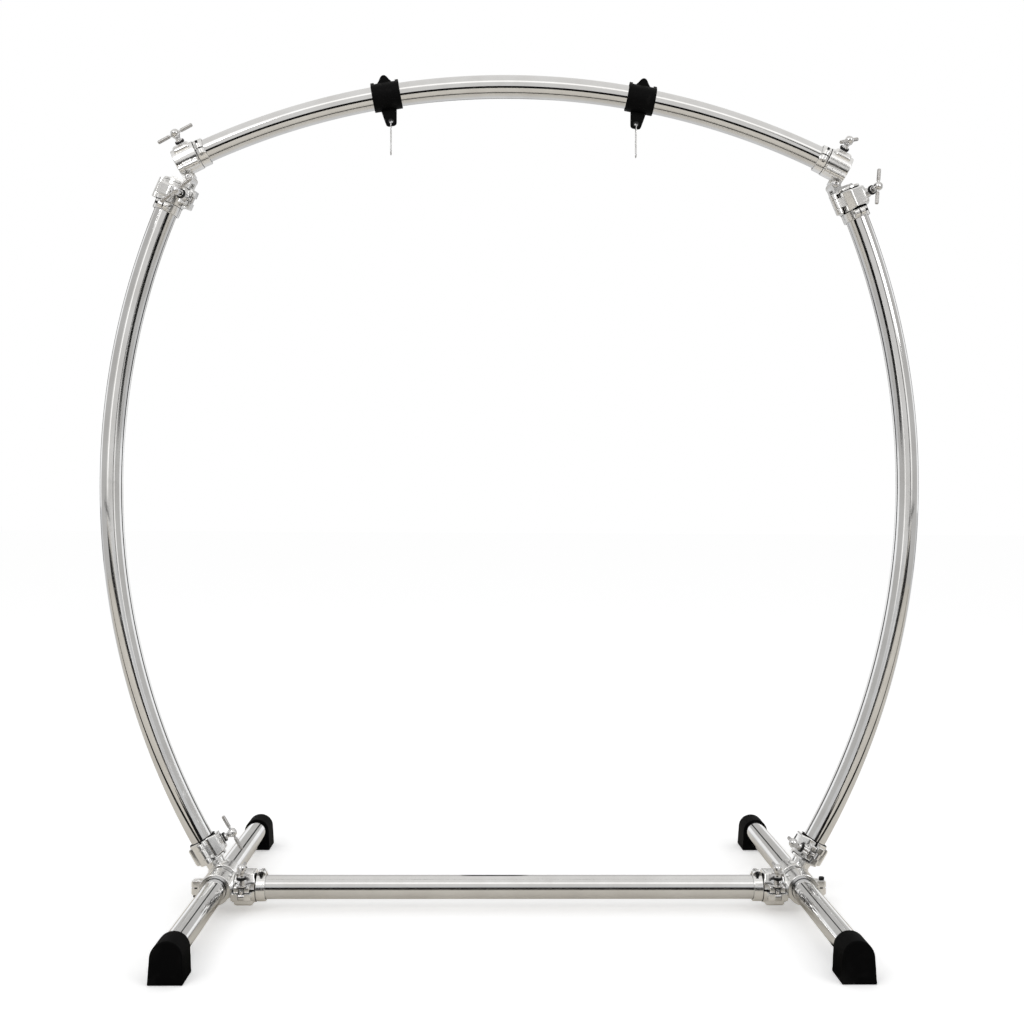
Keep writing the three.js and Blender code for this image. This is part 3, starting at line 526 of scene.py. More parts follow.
def bright_wire():
    """Drawn steel wire."""
    finish = Finish("bright wire")
    place = finish.place()
    fine = finish.noise(place, 1600, 3, 0.6)
    haze = finish.spread(finish.noise(place, 120, 3, 0.5), 0.35, 0.7)
    colour = finish.mixed(haze, rgb(0.64, 0.64, 0.65), rgb(0.42, 0.41, 0.4))
    rough = 0.2 + fine * 0.15
    return finish.surface(Base_Color=colour, Metallic=1.0, Roughness=rough, Normal=finish.bump(fine, 0.1, 0.0001))


CHROME = {
    "arch": plated_tube("plated tube of the arch", (0, ARCH_CENTRE_HEIGHT)),
    "left": plated_tube("plated tube of the left upright", (BEND_RADIUS - FRAME_HALF_WIDTH, UPRIGHT_CENTRE_HEIGHT)),
    "right": plated_tube("plated tube of the right upright", (FRAME_HALF_WIDTH - BEND_RADIUS, UPRIGHT_CENTRE_HEIGHT)),
    "base": plated_tube("plated tube of the base"),
    "crossbar": plated_tube("plated tube of the crossbar", drawn=(2, 900, 900)),
}
CASTING = cast_plate()
STEEL = turned_plate()
GRIP = knurled_grip()
BLACK = oxide_black()
RUBBER = moulded_rubber()
LEATHER = black_leather()
EDGE = cut_edge_and_painted_highlight()
WIRE = bright_wire()


# Tubes

def walled(piece):
    """Gives an open skin its wall and rounded rims."""
    merged(piece, 0.001)
    finish_with(piece, "SOLIDIFY", thickness=TUBE_WALL, offset=-1, use_even_offset=True)
    return ease(piece, 0.35, 2, 60)


def bent_tube(start_point, along, centre, sweep):
    """A circle spun about the centre of the tube's bend, as deep as the flats of the CAD's facets."""
    piece = apply_place(start(
        "circle", vertices=64, radius=TUBE_RADIUS - FACET_DEPTH, location=start_point,
        rotation=UP.rotation_difference(along).to_euler(),
    ))
    pick(piece, "edges", lambda edge: True)
    bpy.ops.mesh.spin(steps=110, angle=sweep, center=centre, axis=(0, 1, 0))
    put_tools_down()
    return walled(piece)


def straight_tube(from_point, to_point):
    along = Vector(to_point) - Vector(from_point)
    piece = apply_place(start(
        "cylinder", vertices=64, radius=TUBE_RADIUS, depth=along.length, end_fill_type="NOTHING",
        location=(Vector(from_point) + Vector(to_point)) / 2, rotation=UP.rotation_difference(along).to_euler(),
    ))
    return walled(piece)


def tube_in_place(piece, node, finish):
    return fit(piece, f"plated_{node}", Matrix(), "frame", finish, [node], 40)


def make_tubes():
    end = (CLAMP_WIDTH / 2 - END_PLATE - 2 * GAP) / BEND_RADIUS
    for side, name in SIDES:
        low, high = UPRIGHT_FOOT - end, UPRIGHT_TOP + end
        centre = (side * (FRAME_HALF_WIDTH - BEND_RADIUS), 0, UPRIGHT_CENTRE_HEIGHT)
        upright = bent_tube(upright_point(side, low), upright_up(side, low), centre, side * (high - low))
        tube_in_place(upright, f"upright_tube_{name}", CHROME[name])
        x = side * BASE_HALF_SPACING
        base = straight_tube((x, -BASE_LENGTH / 2, BASE_HEIGHT), (x, BASE_LENGTH / 2, BASE_HEIGHT))
        tube_in_place(base, f"base_tube_{name}", CHROME["base"])
    reach = ARCH_CLAMP + CLAMP_WIDTH / 2 / BEND_RADIUS
    arch = bent_tube(arch_point(-reach), arch_right(-reach), (0, 0, ARCH_CENTRE_HEIGHT), -2 * reach)
    tube_in_place(arch, "top_arch_tube", CHROME["arch"])
    half = BASE_HALF_SPACING - CROSSBAR_REACH + CLAMP_WIDTH / 2 - END_PLATE - GAP
    depth = SET_BACK - CROSSBAR_FORWARD
    crossbar = straight_tube((-half, depth, BASE_HEIGHT), (half, depth, BASE_HEIGHT))
    tube_in_place(crossbar, "crossbar_tube", CHROME["crossbar"])


make_tubes()


# Clamps, modelled in their own place: X to the bolt, Y along the bolt, Z along the tube

KNUCKLE_RADIUS = 6.5
KNUCKLE_LENGTH = 9
JAW_KNUCKLE_HALF = 7.9
HINGE_PIN_RADIUS = 2.4
BOLT_PIN_RADIUS = 2.5
FORK_SLOT_HALF = 5.3
LUG_SLOT_HALF = 4.7
LUG_RISE = 9
PINCH_OUT = 34
RING_LUG_HEIGHT = 24


def spanning(first, second):
    return min(first, second), max(first, second)


def cradle(hand, has_back=True, closed_end=True, added=(), cuts=()):
    """The fixed half: barrel, bolt fork, hinge knuckles and pins."""
    half = CLAMP_WIDTH / 2
    lug_end = hand * (BOLT_OFFSET + 7.5)
    hinge = -hand * HINGE_OFFSET
    body = ease(rod(CLAMP_RADIUS, -half, half, sides=64), 1.2)
    fork = block(spanning(0, lug_end), (-12, 3), (-16, 16))
    pick(fork, "edges", lambda edge: all(
        abs(corner.co.x - lug_end) < 0.1 and corner.co.y < -11 for corner in edge.verts
    ))
    bpy.ops.mesh.bevel(offset=4, segments=4, affect="EDGES")
    put_tools_down()
    ease(fork, 1.2, 3, 50)
    web = block(spanning(0, hinge), (-6.3, 3), (-17, 17))
    weld(body, fork, web)
    if has_back:
        back = block((-15, 15), (-24, 0), (-15.5, 15.5))
        pick(back, "faces", facing((0, -1, 0)))
        bpy.ops.mesh.extrude_region_move(TRANSFORM_OT_translate={"value": (0, -3, 0)})
        bpy.ops.transform.resize(value=(0.75, 1, 0.8))
        put_tools_down()
        weld(body, ease(back, 1.0, 2, 20))
    weld(body, *added)
    machine(body, block((-80, 80), (-HALF_SPLIT, 80), (-half - 5, half - END_PLATE if closed_end else half + 5)))
    knuckle_start = JAW_KNUCKLE_HALF + GAP
    knuckle_end = knuckle_start + KNUCKLE_LENGTH
    for end in (-1, 1):
        knuckle = rod(KNUCKLE_RADIUS, *spanning(end * knuckle_start, end * knuckle_end), at=(hinge, 0, 0))
        weld(body, ease(knuckle, 0.6, 2))
    slot_start = hand * (BOLT_OFFSET - 5.4 - 0.7)
    machine(
        body,
        block(spanning(slot_start, hand * 60), (-40, 60), (-FORK_SLOT_HALF, FORK_SLOT_HALF)),
        rod(7.1, -knuckle_start, knuckle_start, at=(hinge, 0, 0)),
        rod(BORE_RADIUS, -half - 5, half - END_PLATE if closed_end else half + 5, sides=64),
        *cuts,
    )
    weld(
        body, rod(BOLT_PIN_RADIUS, -16.4, 16.4, at=(hand * BOLT_OFFSET, -BOLT_PIN_DROP, 0)),
        rod(HINGE_PIN_RADIUS, -knuckle_end, knuckle_end, at=(hinge, 0, 0)),
    )
    return dressed(body)


def square_crown(low, high):
    """A bevelled square crown with a shallow framed face."""
    piece = block((-21, 21), (0, 13), (low, high))
    pick(piece, "faces", facing((0, 1, 0)))
    bpy.ops.mesh.extrude_region_move(TRANSFORM_OT_translate={"value": (0, 14, 0)})
    bpy.ops.transform.resize(value=(0.72, 1, 0.86))
    put_tools_down()
    ease(piece, 2.2, 4, 20)
    pick(piece, "faces", lambda face: face.normal.y > 0.99 and face.calc_center_median().y > 26)
    bpy.ops.mesh.inset(thickness=2.4, depth=0)
    bpy.ops.mesh.inset(thickness=1.2, depth=-1.2)
    put_tools_down()
    return piece


def round_crown(low, high):
    """A barrel with a low hump on top."""
    piece = ease(rod(CLAMP_RADIUS, low, high, sides=64), 1.4)
    hump = ease(block((-12, 12), (8, 27), (low + 5, high - 5)), 5, 5)
    return weld(piece, hump)


def jaw(hand, low, high, crown):
    """The hinged half: a crown, a slotted lug and the middle knuckle."""
    hinge = -hand * HINGE_OFFSET
    piece = crown(low, high)
    tip = hand * (BOLT_OFFSET + 2.5)
    lug = ease(block(spanning(hand * 5, tip), (0, HALF_SPLIT + LUG_RISE), (-12.5, 12.5)), 1.4, 3, 50)
    tongue = block(spanning(hand * -5, hinge), (0, 6.3), (-JAW_KNUCKLE_HALF, JAW_KNUCKLE_HALF))
    weld(piece, lug, tongue)
    machine(piece, block((-60, 60), (-60, HALF_SPLIT), (low - 5, high + 5)))
    weld(piece, ease(rod(KNUCKLE_RADIUS, -JAW_KNUCKLE_HALF, JAW_KNUCKLE_HALF, at=(hinge, 0, 0)), 0.6, 2))
    slot_start = hand * (BOLT_OFFSET - LUG_SLOT_HALF)
    machine(
        piece,
        rod(BORE_RADIUS, low - 5, high + 5, sides=64),
        block(spanning(slot_start, hand * 60), (-40, 60), (-LUG_SLOT_HALF, LUG_SLOT_HALF)),
        rod(2.7, -20, 20, at=(hinge, 0, 0)),
    )
    return dressed(piece)


def swing_bolt():
    """An eye on a threaded shank."""
    eye = ease(rod(5.4, -5, 5, at=(0, -BOLT_PIN_DROP, 0)), 0.6)
    steps = [(3.6, -BOLT_PIN_DROP), (3.6, 3)]
    height = 3.4
    while height < 27.2:
        steps += [(4, height), (3.55, height + 0.55)]
        height += 1.1
    steps += [(3.2, 28.4)]
    weld(eye, turned(steps, 32, along=(0, 1, 0)))
    return machine(eye, rod(2.8, -9, 9, at=(0, -BOLT_PIN_DROP, 0)))


NUT_SEAT = HALF_SPLIT + LUG_RISE + GAP
HUB_HEIGHT = 2.6 + 22 + 7.2 * 0.6


# T-nut: sleeve, washer, collar and two grips, with Y up from its seat and X along the bar

def nut_sleeve():
    """A ribbed bushing, the neck above it and the hub with the bar through it."""
    steps = [(4.3, 0.9), (8.0, 0.9), (8.1, 1.1), (8.1, 2.4), (7.8, 2.7), (6.6, 2.9)]
    for rib in range(5):
        low = 3.3 + rib * 1.7
        steps += [(6.2, low), (6.7, low + 0.35), (6.7, low + 1.15), (6.2, low + 1.5)]
    steps += [
        (5.6, 12.1), (5.6, 16.2), (4.6, 16.8), (4.3, 18.4), (4.4, 20.4), (5.2, 22.4), (6.6, 24.4), (7.15, 26.4),
        (7.2, 28.9), (7.15, 31.2), (6.5, 33.4), (5.2, 35.0), (3.2, 35.9), (0.5, 36.1),
    ]
    sleeve = turned(steps, 48, along=(0, 1, 0))
    machine(sleeve, rod(4.15, -2, 19.2, along=(0, 1, 0)))
    return weld(sleeve, ease(rod(2.3, -19, 19, along=(1, 0, 0), at=(0, HUB_HEIGHT, 0), sides=32), 0.4))


def nut_grip():
    """A ribbed grip on one end of the bar."""
    steps = [(2.0, 10.6), (2.7, 10.8), (3.1, 11.4), (3.1, 12.8), (2.75, 13.2), (2.75, 13.8), (3.1, 14.2), (3.1, 30.7)]
    steps += [(2.8, 31.5), (2.2, 32.1), (1.2, 32.4)]
    return turned(steps, 40, along=(1, 0, 0), at=(0, HUB_HEIGHT, 0))


def nut_washer():
    steps = [(4.5, 0), (8.15, 0), (8.2, 0.25), (8.2, 0.7), (8.0, 0.85), (4.5, 0.85)]
    return turned(steps, 48, True, (0, 1, 0))


def nut_collar():
    """The black ring about the middle of the nut."""
    steps = [(5.75, 12.3), (7.6, 12.3), (7.95, 12.6), (7.95, 15.5), (7.6, 15.9), (5.75, 15.9)]
    return turned(steps, 48, True, (0, 1, 0))


def liner_with_shade_fins(closed_end):
    """The black insert between clamp and tube, with a rim at the tube's side and a fin in each split. The rim is partly
    painted shade, a dark ring where the tube leaves the clamp, and the fins are black sheets of painted shade that fill
    the split, where the gap has only shade.
    """
    low, high = -CLAMP_WIDTH / 2, CLAMP_WIDTH / 2 - (END_PLATE + 0.2 if closed_end else 0)
    shell = turned([
        (TUBE_RADIUS + 0.15, low - 0.42), (22.9, low - 0.42), (22.9, low - 0.06), (BORE_RADIUS - 0.1, low - 0.06),
        (BORE_RADIUS - 0.1, high), (TUBE_RADIUS + 0.15, high),
    ], 64, True)
    # Painted shade: black fins that fill the split between the two halves, where the gap has only shade.
    painted_shade_fins = machine(
        block((0.6 - CLAMP_RADIUS, CLAMP_RADIUS - 0.6), (-0.3, 0.3), (low + 0.6, high - 0.6)),
        rod(BORE_RADIUS - 0.4, low - 9, high + 9, sides=64),
    )
    return weld(shell, painted_shade_fins)


def make_clamp(name, place, hand, bar_angle, casting, closed_end=True, crown=square_crown):
    half = CLAMP_WIDTH / 2
    # The black liner is partly painted shade: its rim darkens the clamp's end and its fins fill the split.
    fit(repeat(liner_with_shade_fins, closed_end), f"liner_{name}", place, "frame", RUBBER)
    fit(casting, f"cast_cradle_{name}", place, "frame", CASTING, [f"{name}_casting"], 50)
    shell = repeat(jaw, hand, -half, half - END_PLATE - GAP if closed_end else half, crown)
    fit(shell, f"cast_jaw_{name}", place, "frame", CASTING, [f"{name}_jaw"], 50)
    on_pin = place @ Matrix.Translation((hand * BOLT_OFFSET, 0, 0))
    bolt = f"{name}_bolt"
    fit(repeat(swing_bolt), f"swing_bolt_{name}", on_pin, bolt, STEEL, [f"{name}_swing_bolt"], 30)
    on_seat = on_pin @ Matrix.Translation((0, NUT_SEAT, 0)) @ Matrix.Rotation(-bar_angle, 4, "Y")
    turned_about = on_seat @ Matrix.Rotation(math.pi, 4, "Y")
    nut = f"{name}_nut"
    fit(repeat(nut_sleeve), f"nut_sleeve_{name}", on_seat, nut, STEEL, [f"{name}_t_nut"], 30)
    for maker, part in ((nut_washer, "washer"), (nut_collar, "collar")):
        fit(repeat(maker), f"nut_{part}_{name}", on_seat, nut, BLACK)
    for seat, end in ((on_seat, "near"), (turned_about, "far")):
        fit(repeat(nut_grip), f"nut_grip_{end}_{name}", seat, nut, GRIP, (), 30)


def pinch_screw(place):
    """A socket-head screw through the slit lug of a base ring."""
    top = RING_LUG_HEIGHT / 2
    head = [(4.2, top + 0.35), (4.4, top + 0.6), (4.4, top + 3.9), (4.1, top + 4.3)]
    steps = [(2.4, 0.3 - top), (2.4, top - 0.5), *head]
    screw = turned(steps, 40, at=(PINCH_OUT, 0, 0))
    socket = rod(2.1, top + 1.6, top + 6, at=(PINCH_OUT, 0, 0), sides=6)
    return moved(machine(screw, socket), place)


def hand_to_viewer(place):
    """1 where the clamp's own X looks at the viewer, otherwise -1."""
    return 1 if place[1][0] < 0 else -1


def t_clamp(name, place, reach, hand, bar_angle, lug_direction, screw_node=None):
    """A clamp on the ring of a base tube."""
    inverse = place.to_3x3().inverted()
    ring_axis = (inverse @ Vector((0, 1, 0))).normalized()
    lug_out = (inverse @ Vector(lug_direction)).normalized()
    centre = Vector((0, 0, reach))
    lug_place = basis(lug_out, ring_axis, lug_out.cross(ring_axis), centre)
    ring = ease(rod(25.6, -19, 19, along=ring_axis, at=centre, sides=64), 1.6)
    neck = turned([
        (21, 14.5), (18, 17), (16, 21), (15.5, reach * 0.55), (17.5, reach - 22), (19, reach - 17), (18, reach),
    ])
    lug = block((14, 40.5), (-7, 7), (-RING_LUG_HEIGHT / 2, RING_LUG_HEIGHT / 2))
    pick(lug, "edges", lambda edge: all(corner.co.x > 40 for corner in edge.verts) and abs(
        edge.verts[0].co.y - edge.verts[1].co.y) > 1)
    bpy.ops.mesh.bevel(offset=4, segments=4, affect="EDGES")
    put_tools_down()
    ease(lug, 1.0, 2, 50)
    slit = block((14, 50), (-25, 25), (-1.2, 1.2))
    for part in (lug, slit):
        moved(part, lug_place)
    casting = cradle(
        hand, added=[neck, ring, lug], cuts=[rod(BORE_RADIUS, -30, 30, along=ring_axis, at=centre, sides=64), slit],
    )
    make_clamp(name, place, hand, bar_angle, casting)
    screw = pinch_screw(lug_place)
    fit(screw, f"pinch_screw_{name}", place, "frame", BLACK, [screw_node] if screw_node else [], 30)


def make_base_clamps():
    for side, name in SIDES:
        place = clamp_place(
            upright_point(side, UPRIGHT_FOOT), -upright_up(side, UPRIGHT_FOOT), upright_inward(side, UPRIGHT_FOOT),
        )
        t_clamp(
            f"upright_foot_clamp_{name}", place, UPRIGHT_REACH, side * hand_to_viewer(place),
            math.pi / 2 if side == LEFT else 0, (-side, 0, 0),
        )
        centre = Vector((side * (BASE_HALF_SPACING - CROSSBAR_REACH), SET_BACK - CROSSBAR_FORWARD, BASE_HEIGHT))
        place = clamp_place(centre, Vector((side, 0, 0)), UP)
        t_clamp(
            f"crossbar_clamp_{name}", place, CROSSBAR_REACH, hand_to_viewer(place), 0, (side, 0, 0),
            f"ring_screw_{name}",
        )


make_base_clamps()


# Top corners: the arch clamp pivots on the ears of the upright's clamp

ARCH_TILT = {LEFT: math.radians(35), RIGHT: math.radians(38)}
ARCH_BAR = {LEFT: math.radians(80), RIGHT: math.radians(26)}
TOP_TURN = {LEFT: math.radians(20), RIGHT: math.radians(25)}
TOP_BAR = math.radians(124)


def arch_clamp(side, name, pivot):
    at = side * ARCH_CLAMP
    tilt = ARCH_TILT[side]
    bolt_up = arch_up(at) * math.cos(tilt) + TO_VIEWER * math.sin(tilt)
    place = clamp_place(arch_point(at), arch_right(at) * side, bolt_up)
    hand = -hand_to_viewer(place)
    inverse = place.inverted()
    knuckle_at = inverse @ pivot
    across = (inverse.to_3x3() @ TO_VIEWER).normalized()
    out = (inverse.to_3x3() @ -arch_up(at)).normalized()
    half = PIVOT_MIDDLE / 2
    stem = block((BORE_RADIUS + 0.8, PIVOT_DROP), (knuckle_at.z - 9.5, knuckle_at.z + 9.5), (-half, half))
    moved(stem, basis(out, UP, out.cross(UP), (0, 0, 0)))
    knuckle = rod(PIVOT_RADIUS, -half, half, along=across, at=knuckle_at)
    hole = rod(3.3, -CLAMP_WIDTH, CLAMP_WIDTH, along=across, at=knuckle_at)
    casting = cradle(hand, has_back=False, closed_end=False, added=[stem, knuckle], cuts=[hole])
    make_clamp(f"arch_clamp_{name}", place, hand, ARCH_BAR[side], casting, False, round_crown)


def top_clamp(side, name, pivot):
    inward = upright_inward(side, UPRIGHT_TOP)
    turn = TOP_TURN[side]
    bolt_up = TO_VIEWER * math.cos(turn) - inward * math.sin(turn)
    place = clamp_place(upright_point(side, UPRIGHT_TOP), upright_up(side, UPRIGHT_TOP), bolt_up)
    inverse = place.inverted()
    knuckle_at = inverse @ pivot
    across = (inverse.to_3x3() @ TO_VIEWER).normalized()
    sideways = (inverse.to_3x3() @ inward).normalized()
    arm_place = basis(sideways, UP, sideways.cross(UP), (0, 0, 0))
    tip = knuckle_at.dot(sideways)
    top = CLAMP_WIDTH / 2
    arms = []
    for end in (-1, 1):
        low = PIVOT_MIDDLE / 2 + GAP
        depth = spanning(end * low, end * (low + PIVOT_OUTER))
        arm = block((-11, tip + 2), (top - 2, top + 5), depth)
        pick(arm, "verts", lambda corner: corner.co.x < 0 and corner.co.y > top)
        bpy.ops.transform.translate(value=(3, -1.5, 0))
        put_tools_down()
        rise = block((tip - 7, tip + 6.5), (top + 1, knuckle_at.z), depth)
        arms += [moved(arm, arm_place), moved(rise, arm_place)]
        arms.append(ease(rod(PIVOT_RADIUS, *depth, along=across, at=knuckle_at), 0.8, 2))
    hole = rod(3.3, -CLAMP_WIDTH, CLAMP_WIDTH, along=across, at=knuckle_at)
    casting = cradle(-1, added=arms, cuts=[hole])
    crown = round_crown if side == LEFT else square_crown
    make_clamp(f"upright_top_clamp_{name}", place, -1, TOP_BAR, casting, True, crown)


def pivot_bolt(name, pivot):
    """A button-head bolt with a hex socket and a nut behind."""
    reach = PIVOT_MIDDLE / 2 + 2 * GAP + PIVOT_OUTER
    steps = [
        (4.6, -reach - 3.5), (5.2, -reach - 3.2), (5.2, -reach), (3, -reach + 0.1), (3, reach - 0.1), (5.7, reach),
        (5.8, reach + 0.9), (5.1, reach + 2.5), (3.9, reach + 3.4), (2.4, reach + 3.6),
    ]
    bolt = turned(steps, 40, along=TO_VIEWER, at=pivot)
    machine(bolt, rod(2.0, reach + 1.2, reach + 6, along=TO_VIEWER, at=pivot, sides=6))
    fit(bolt, f"pivot_screw_{name}", Matrix(), "frame", STEEL, [f"pivot_bolt_{name}"], 30)


def make_top_corners():
    for side, name in SIDES:
        pivot = pivot_point(side)
        arch_clamp(side, name, pivot)
        top_clamp(side, name, pivot)
        pivot_bolt(name, pivot)


make_top_corners()


# Memory locks, modelled once and copied: X to the lug, Y along the key screw, Z along the tube

BOSS_OUT = 21.5
KEY_SCREW_OUT = 23.5


def lock_collar():
    collar = ease(rod(22.6, -7.5, 7.5, sides=64), 0.8, 3)
    boss = ease(rod(7.2, -9, 9, along=(0, 1, 0), at=(BOSS_OUT, 0, 0)), 0.8, 3)
    bridge = block((8, BOSS_OUT), (-8.4, 8.4), (-6.8, 6.8))
    weld(collar, bridge, boss)
    head_way = rod(3.4, -14, -4.5, along=(0, 1, 0), at=(KEY_SCREW_OUT, 0, 0))
    thread_way = rod(2.2, -9, 9, along=(0, 1, 0), at=(KEY_SCREW_OUT, 0, 0))
    slit = block((0, 35), (-1.1, 1.1), (-13, 13))
    machine(collar, rod(BORE_RADIUS, -13, 13, sides=64), slit, head_way, thread_way)
    return dressed(collar)


def key_screw():
    steps = [(1.9, -5), (1.9, 9.1), (3.2, 9.25), (3.3, 9.5), (3.3, 10.2), (3, 10.4), (2.2, 10.5)]
    screw = turned(steps, 32, along=(0, 1, 0), at=(KEY_SCREW_OUT, 0, 0))
    key = ease(block((21.6, 25.4), (10, 14.6), (-1.9, 1.9)), 0.3, 2)
    return weld(screw, key)


def make_locks():
    places = {}
    for side, name in SIDES:
        at = side * (ARCH_CLAMP - LOCK_CENTRE / BEND_RADIUS)
        places[f"memory_lock_arch_{name}"] = (arch_point(at), -arch_right(at), TO_VIEWER)
        at = UPRIGHT_TOP - LOCK_CENTRE / BEND_RADIUS
        places[f"memory_lock_upright_{name}"] = (upright_point(side, at), upright_up(side, at) * side, TO_VIEWER)
        x = side * (BASE_HALF_SPACING - CROSSBAR_REACH - LOCK_CENTRE)
        centre = Vector((x, SET_BACK - CROSSBAR_FORWARD, BASE_HEIGHT))
        places[f"memory_lock_crossbar_{name}"] = (centre, Vector((1, 0, 0)), UP)
    for node, (centre, along, lug) in places.items():
        place = basis(lug, along.cross(lug), along, centre)
        fit(repeat(lock_collar), f"collar_{node}", place, "frame", CASTING, [node], 50)
        fit(repeat(key_screw), f"key_screw_{node}", place, "frame", BLACK)


make_locks()


# Rubber feet: Y from the open end to the floor end

FOOT_LENGTH = 52
FOOT_HEIGHT = 58.5
FOOT_SOCKET = 39
FOOT_TOP_RADIUS = 23
SOLE_HALF = 24.5


def rubber_foot():
    round_from = FOOT_HEIGHT - FOOT_TOP_RADIUS
    foot = block((-SOLE_HALF, SOLE_HALF), (0, FOOT_LENGTH), (0, round_from))
    pick(foot, "faces", facing((0, 0, 1)))
    bpy.ops.transform.resize(value=(FOOT_TOP_RADIUS / SOLE_HALF, 1, 1))
    put_tools_down()
    weld(foot, rod(FOOT_TOP_RADIUS, 0, FOOT_LENGTH, along=(0, 1, 0), at=(0, 0, round_from), sides=64))
    lean = block((-40, 40), (0, 30), (-10, 90))
    moved(lean, Matrix.Translation((0, FOOT_LENGTH, 0)) @ Matrix.Rotation(math.atan2(6.5, FOOT_HEIGHT), 4, "X"))
    machine(foot, lean)
    finish_with(foot, "REMESH", mode="VOXEL", voxel_size=0.9)
    finish_with(foot, "SMOOTH", factor=0.5, iterations=14)
    socket = rod(TUBE_RADIUS + GAP, -5, FOOT_SOCKET, along=(0, 1, 0), at=(0, 0, BASE_HEIGHT), sides=64)
    machine(foot, block((-40, 40), (-5, 0.2), (-5, 90)), block((-40, 40), (-5, 90), (-5, 0)), socket)
    return finish_with(foot, "DECIMATE", ratio=0.4)


def make_feet():
    for side, side_name in SIDES:
        for end, end_name in ((-1, "front"), (1, "rear")):
            node = f"rubber_foot_{end_name}_{side_name}"
            turn = Matrix.Rotation(math.pi if end < 0 else 0, 4, "Z")
            start_at = BASE_LENGTH / 2 - (FOOT_SOCKET - GAP)
            place = Matrix.Translation((side * BASE_HALF_SPACING, end * start_at, 0)) @ turn
            fit(repeat(rubber_foot), f"moulded_{node}", place, "frame", RUBBER, [node], 40)


make_feet()


# Leather hangers, in the place of the arch at each hanger: X along the arch, Z outwards

STRAP_HALF = 13.25
SLEEVE_RADIUS = 22.75
SLEEVE_RIM = 23.5
EYELET_DROP = 43
LINK_RISE = 4.1
LINK_HALF, LINK_WIRE, LINK_RUN = 4.6, 0.9, 46


def tab_plate():
    """The two tabs as one flat piece, its corners rounded."""
    half = [
        (STRAP_HALF, 22), (11.4, 24.6), (9.6, 26.6), (8.3, 28.4), (7.0, 30.6), (5.4, 33.0), (3.4, 35.0), (1.4, 35.9),
    ]
    below = [(13.1, -22.75), (9.6, -43), (8.9, -46.4), (7.6, -48.6), (5.2, -49.8), (4, -50)]
    outline = [(STRAP_HALF, 0), *half, (0, 36), *((-x, z) for x, z in reversed(half)), (-STRAP_HALF, 0)]
    outline += [*((-x, z) for x, z in below), *reversed(below)]
    plate = start("circle", vertices=len(outline), radius=1, fill_type="NGON")
    for corner, (x, z) in zip(plate.data.vertices, outline):
        corner.co = (x, 2, z)
    pick(plate, "faces", lambda face: True)
    bpy.ops.mesh.extrude_region_move(TRANSFORM_OT_translate={"value": (0, -4, 0)})
    bpy.ops.mesh.select_all(action="SELECT")
    bpy.ops.mesh.normals_make_consistent(inside=False)
    put_tools_down()
    return ease(plate, 0.5, 2, 50)


def strap_piece():
    """The band round the tube with its two tabs, pierced for the tube and the eyelet."""
    band = rod(21.05, -STRAP_HALF, STRAP_HALF, along=(1, 0, 0), sides=72)
    weld(band, tab_plate())
    eyelet_way = rod(3.7, -8, 8, along=(0, 1, 0), at=(0, 0, -EYELET_DROP))
    return machine(band, rod(19.5, -20, 20, along=(1, 0, 0), sides=72), eyelet_way)


def sleeve_piece():
    """The outer sleeve, slit over and under the arch for the tabs, with a groove near each end."""
    groove = [(SLEEVE_RADIUS, 20.0), (22.55, 20.3), (SLEEVE_RADIUS, 20.6)]
    half = [*groove, (SLEEVE_RADIUS, 22.9), (22.4, 23.4), (21.8, SLEEVE_RIM), (21.35, 23.3)]
    near = [(radius, -x) for radius, x in reversed(half)]
    sleeve = turned(near + half, 72, True, (1, 0, 0))
    return machine(sleeve, block((-13.6, 13.6), (-2.3, 2.3), (-45, 45)))


def seam_end():
    """The rolled end of the sleeve's seam, which stands up a little at its rim."""
    seam = rod(2.0, 17.6, SLEEVE_RIM - 0.1, along=(1, 0, 0), at=(0, -2.4, 23.2), sides=24)
    return ease(seam, 0.6, 2)


def eyelet_piece():
    """A rolled ring through the lower tab."""
    half = [(5.0, 2.35), (4.9, 2.7), (4.2, 3.1), (3.0, 3.05), (2.6, 2.6)]
    near = [(radius, -height) for radius, height in reversed(half)]
    steps = [*near, (4.8, -2.3), (3.4, -2.3), (3.4, 2.3), (4.8, 2.3), *half]
    return turned(steps, 40, True, (0, 1, 0), (0, 0, -EYELET_DROP))


def wire_link():
    """A long link of thin wire in the plane of Y and Z, open by a millimetre at its foot."""
    link = apply_place(start("circle", vertices=16, radius=LINK_WIRE, location=(0, LINK_HALF, 0)))
    pick(link, "edges", lambda edge: True)
    bpy.ops.mesh.spin(steps=18, angle=-math.pi, center=(0, 0, 0), axis=(1, 0, 0))
    put_tools_down()
    for leg in (-1, 1):
        pick(link, "edges", lambda edge: edge.is_boundary and all(
            corner.co.y * leg > 0 and abs(corner.co.z) < 0.01 for corner in edge.verts
        ))
        bpy.ops.mesh.extrude_region_move(TRANSFORM_OT_translate={"value": (0, 0, -LINK_RUN)})
        bpy.ops.mesh.spin(steps=8, angle=leg * math.radians(84), center=(0, 0, -LINK_RUN), axis=(1, 0, 0))
        put_tools_down()
    pick(link, "edges", lambda edge: edge.is_boundary)
    bpy.ops.mesh.edge_face_add()
    bpy.ops.mesh.select_all(action="SELECT")
    bpy.ops.mesh.normals_make_consistent(inside=False)
    put_tools_down()
    return link


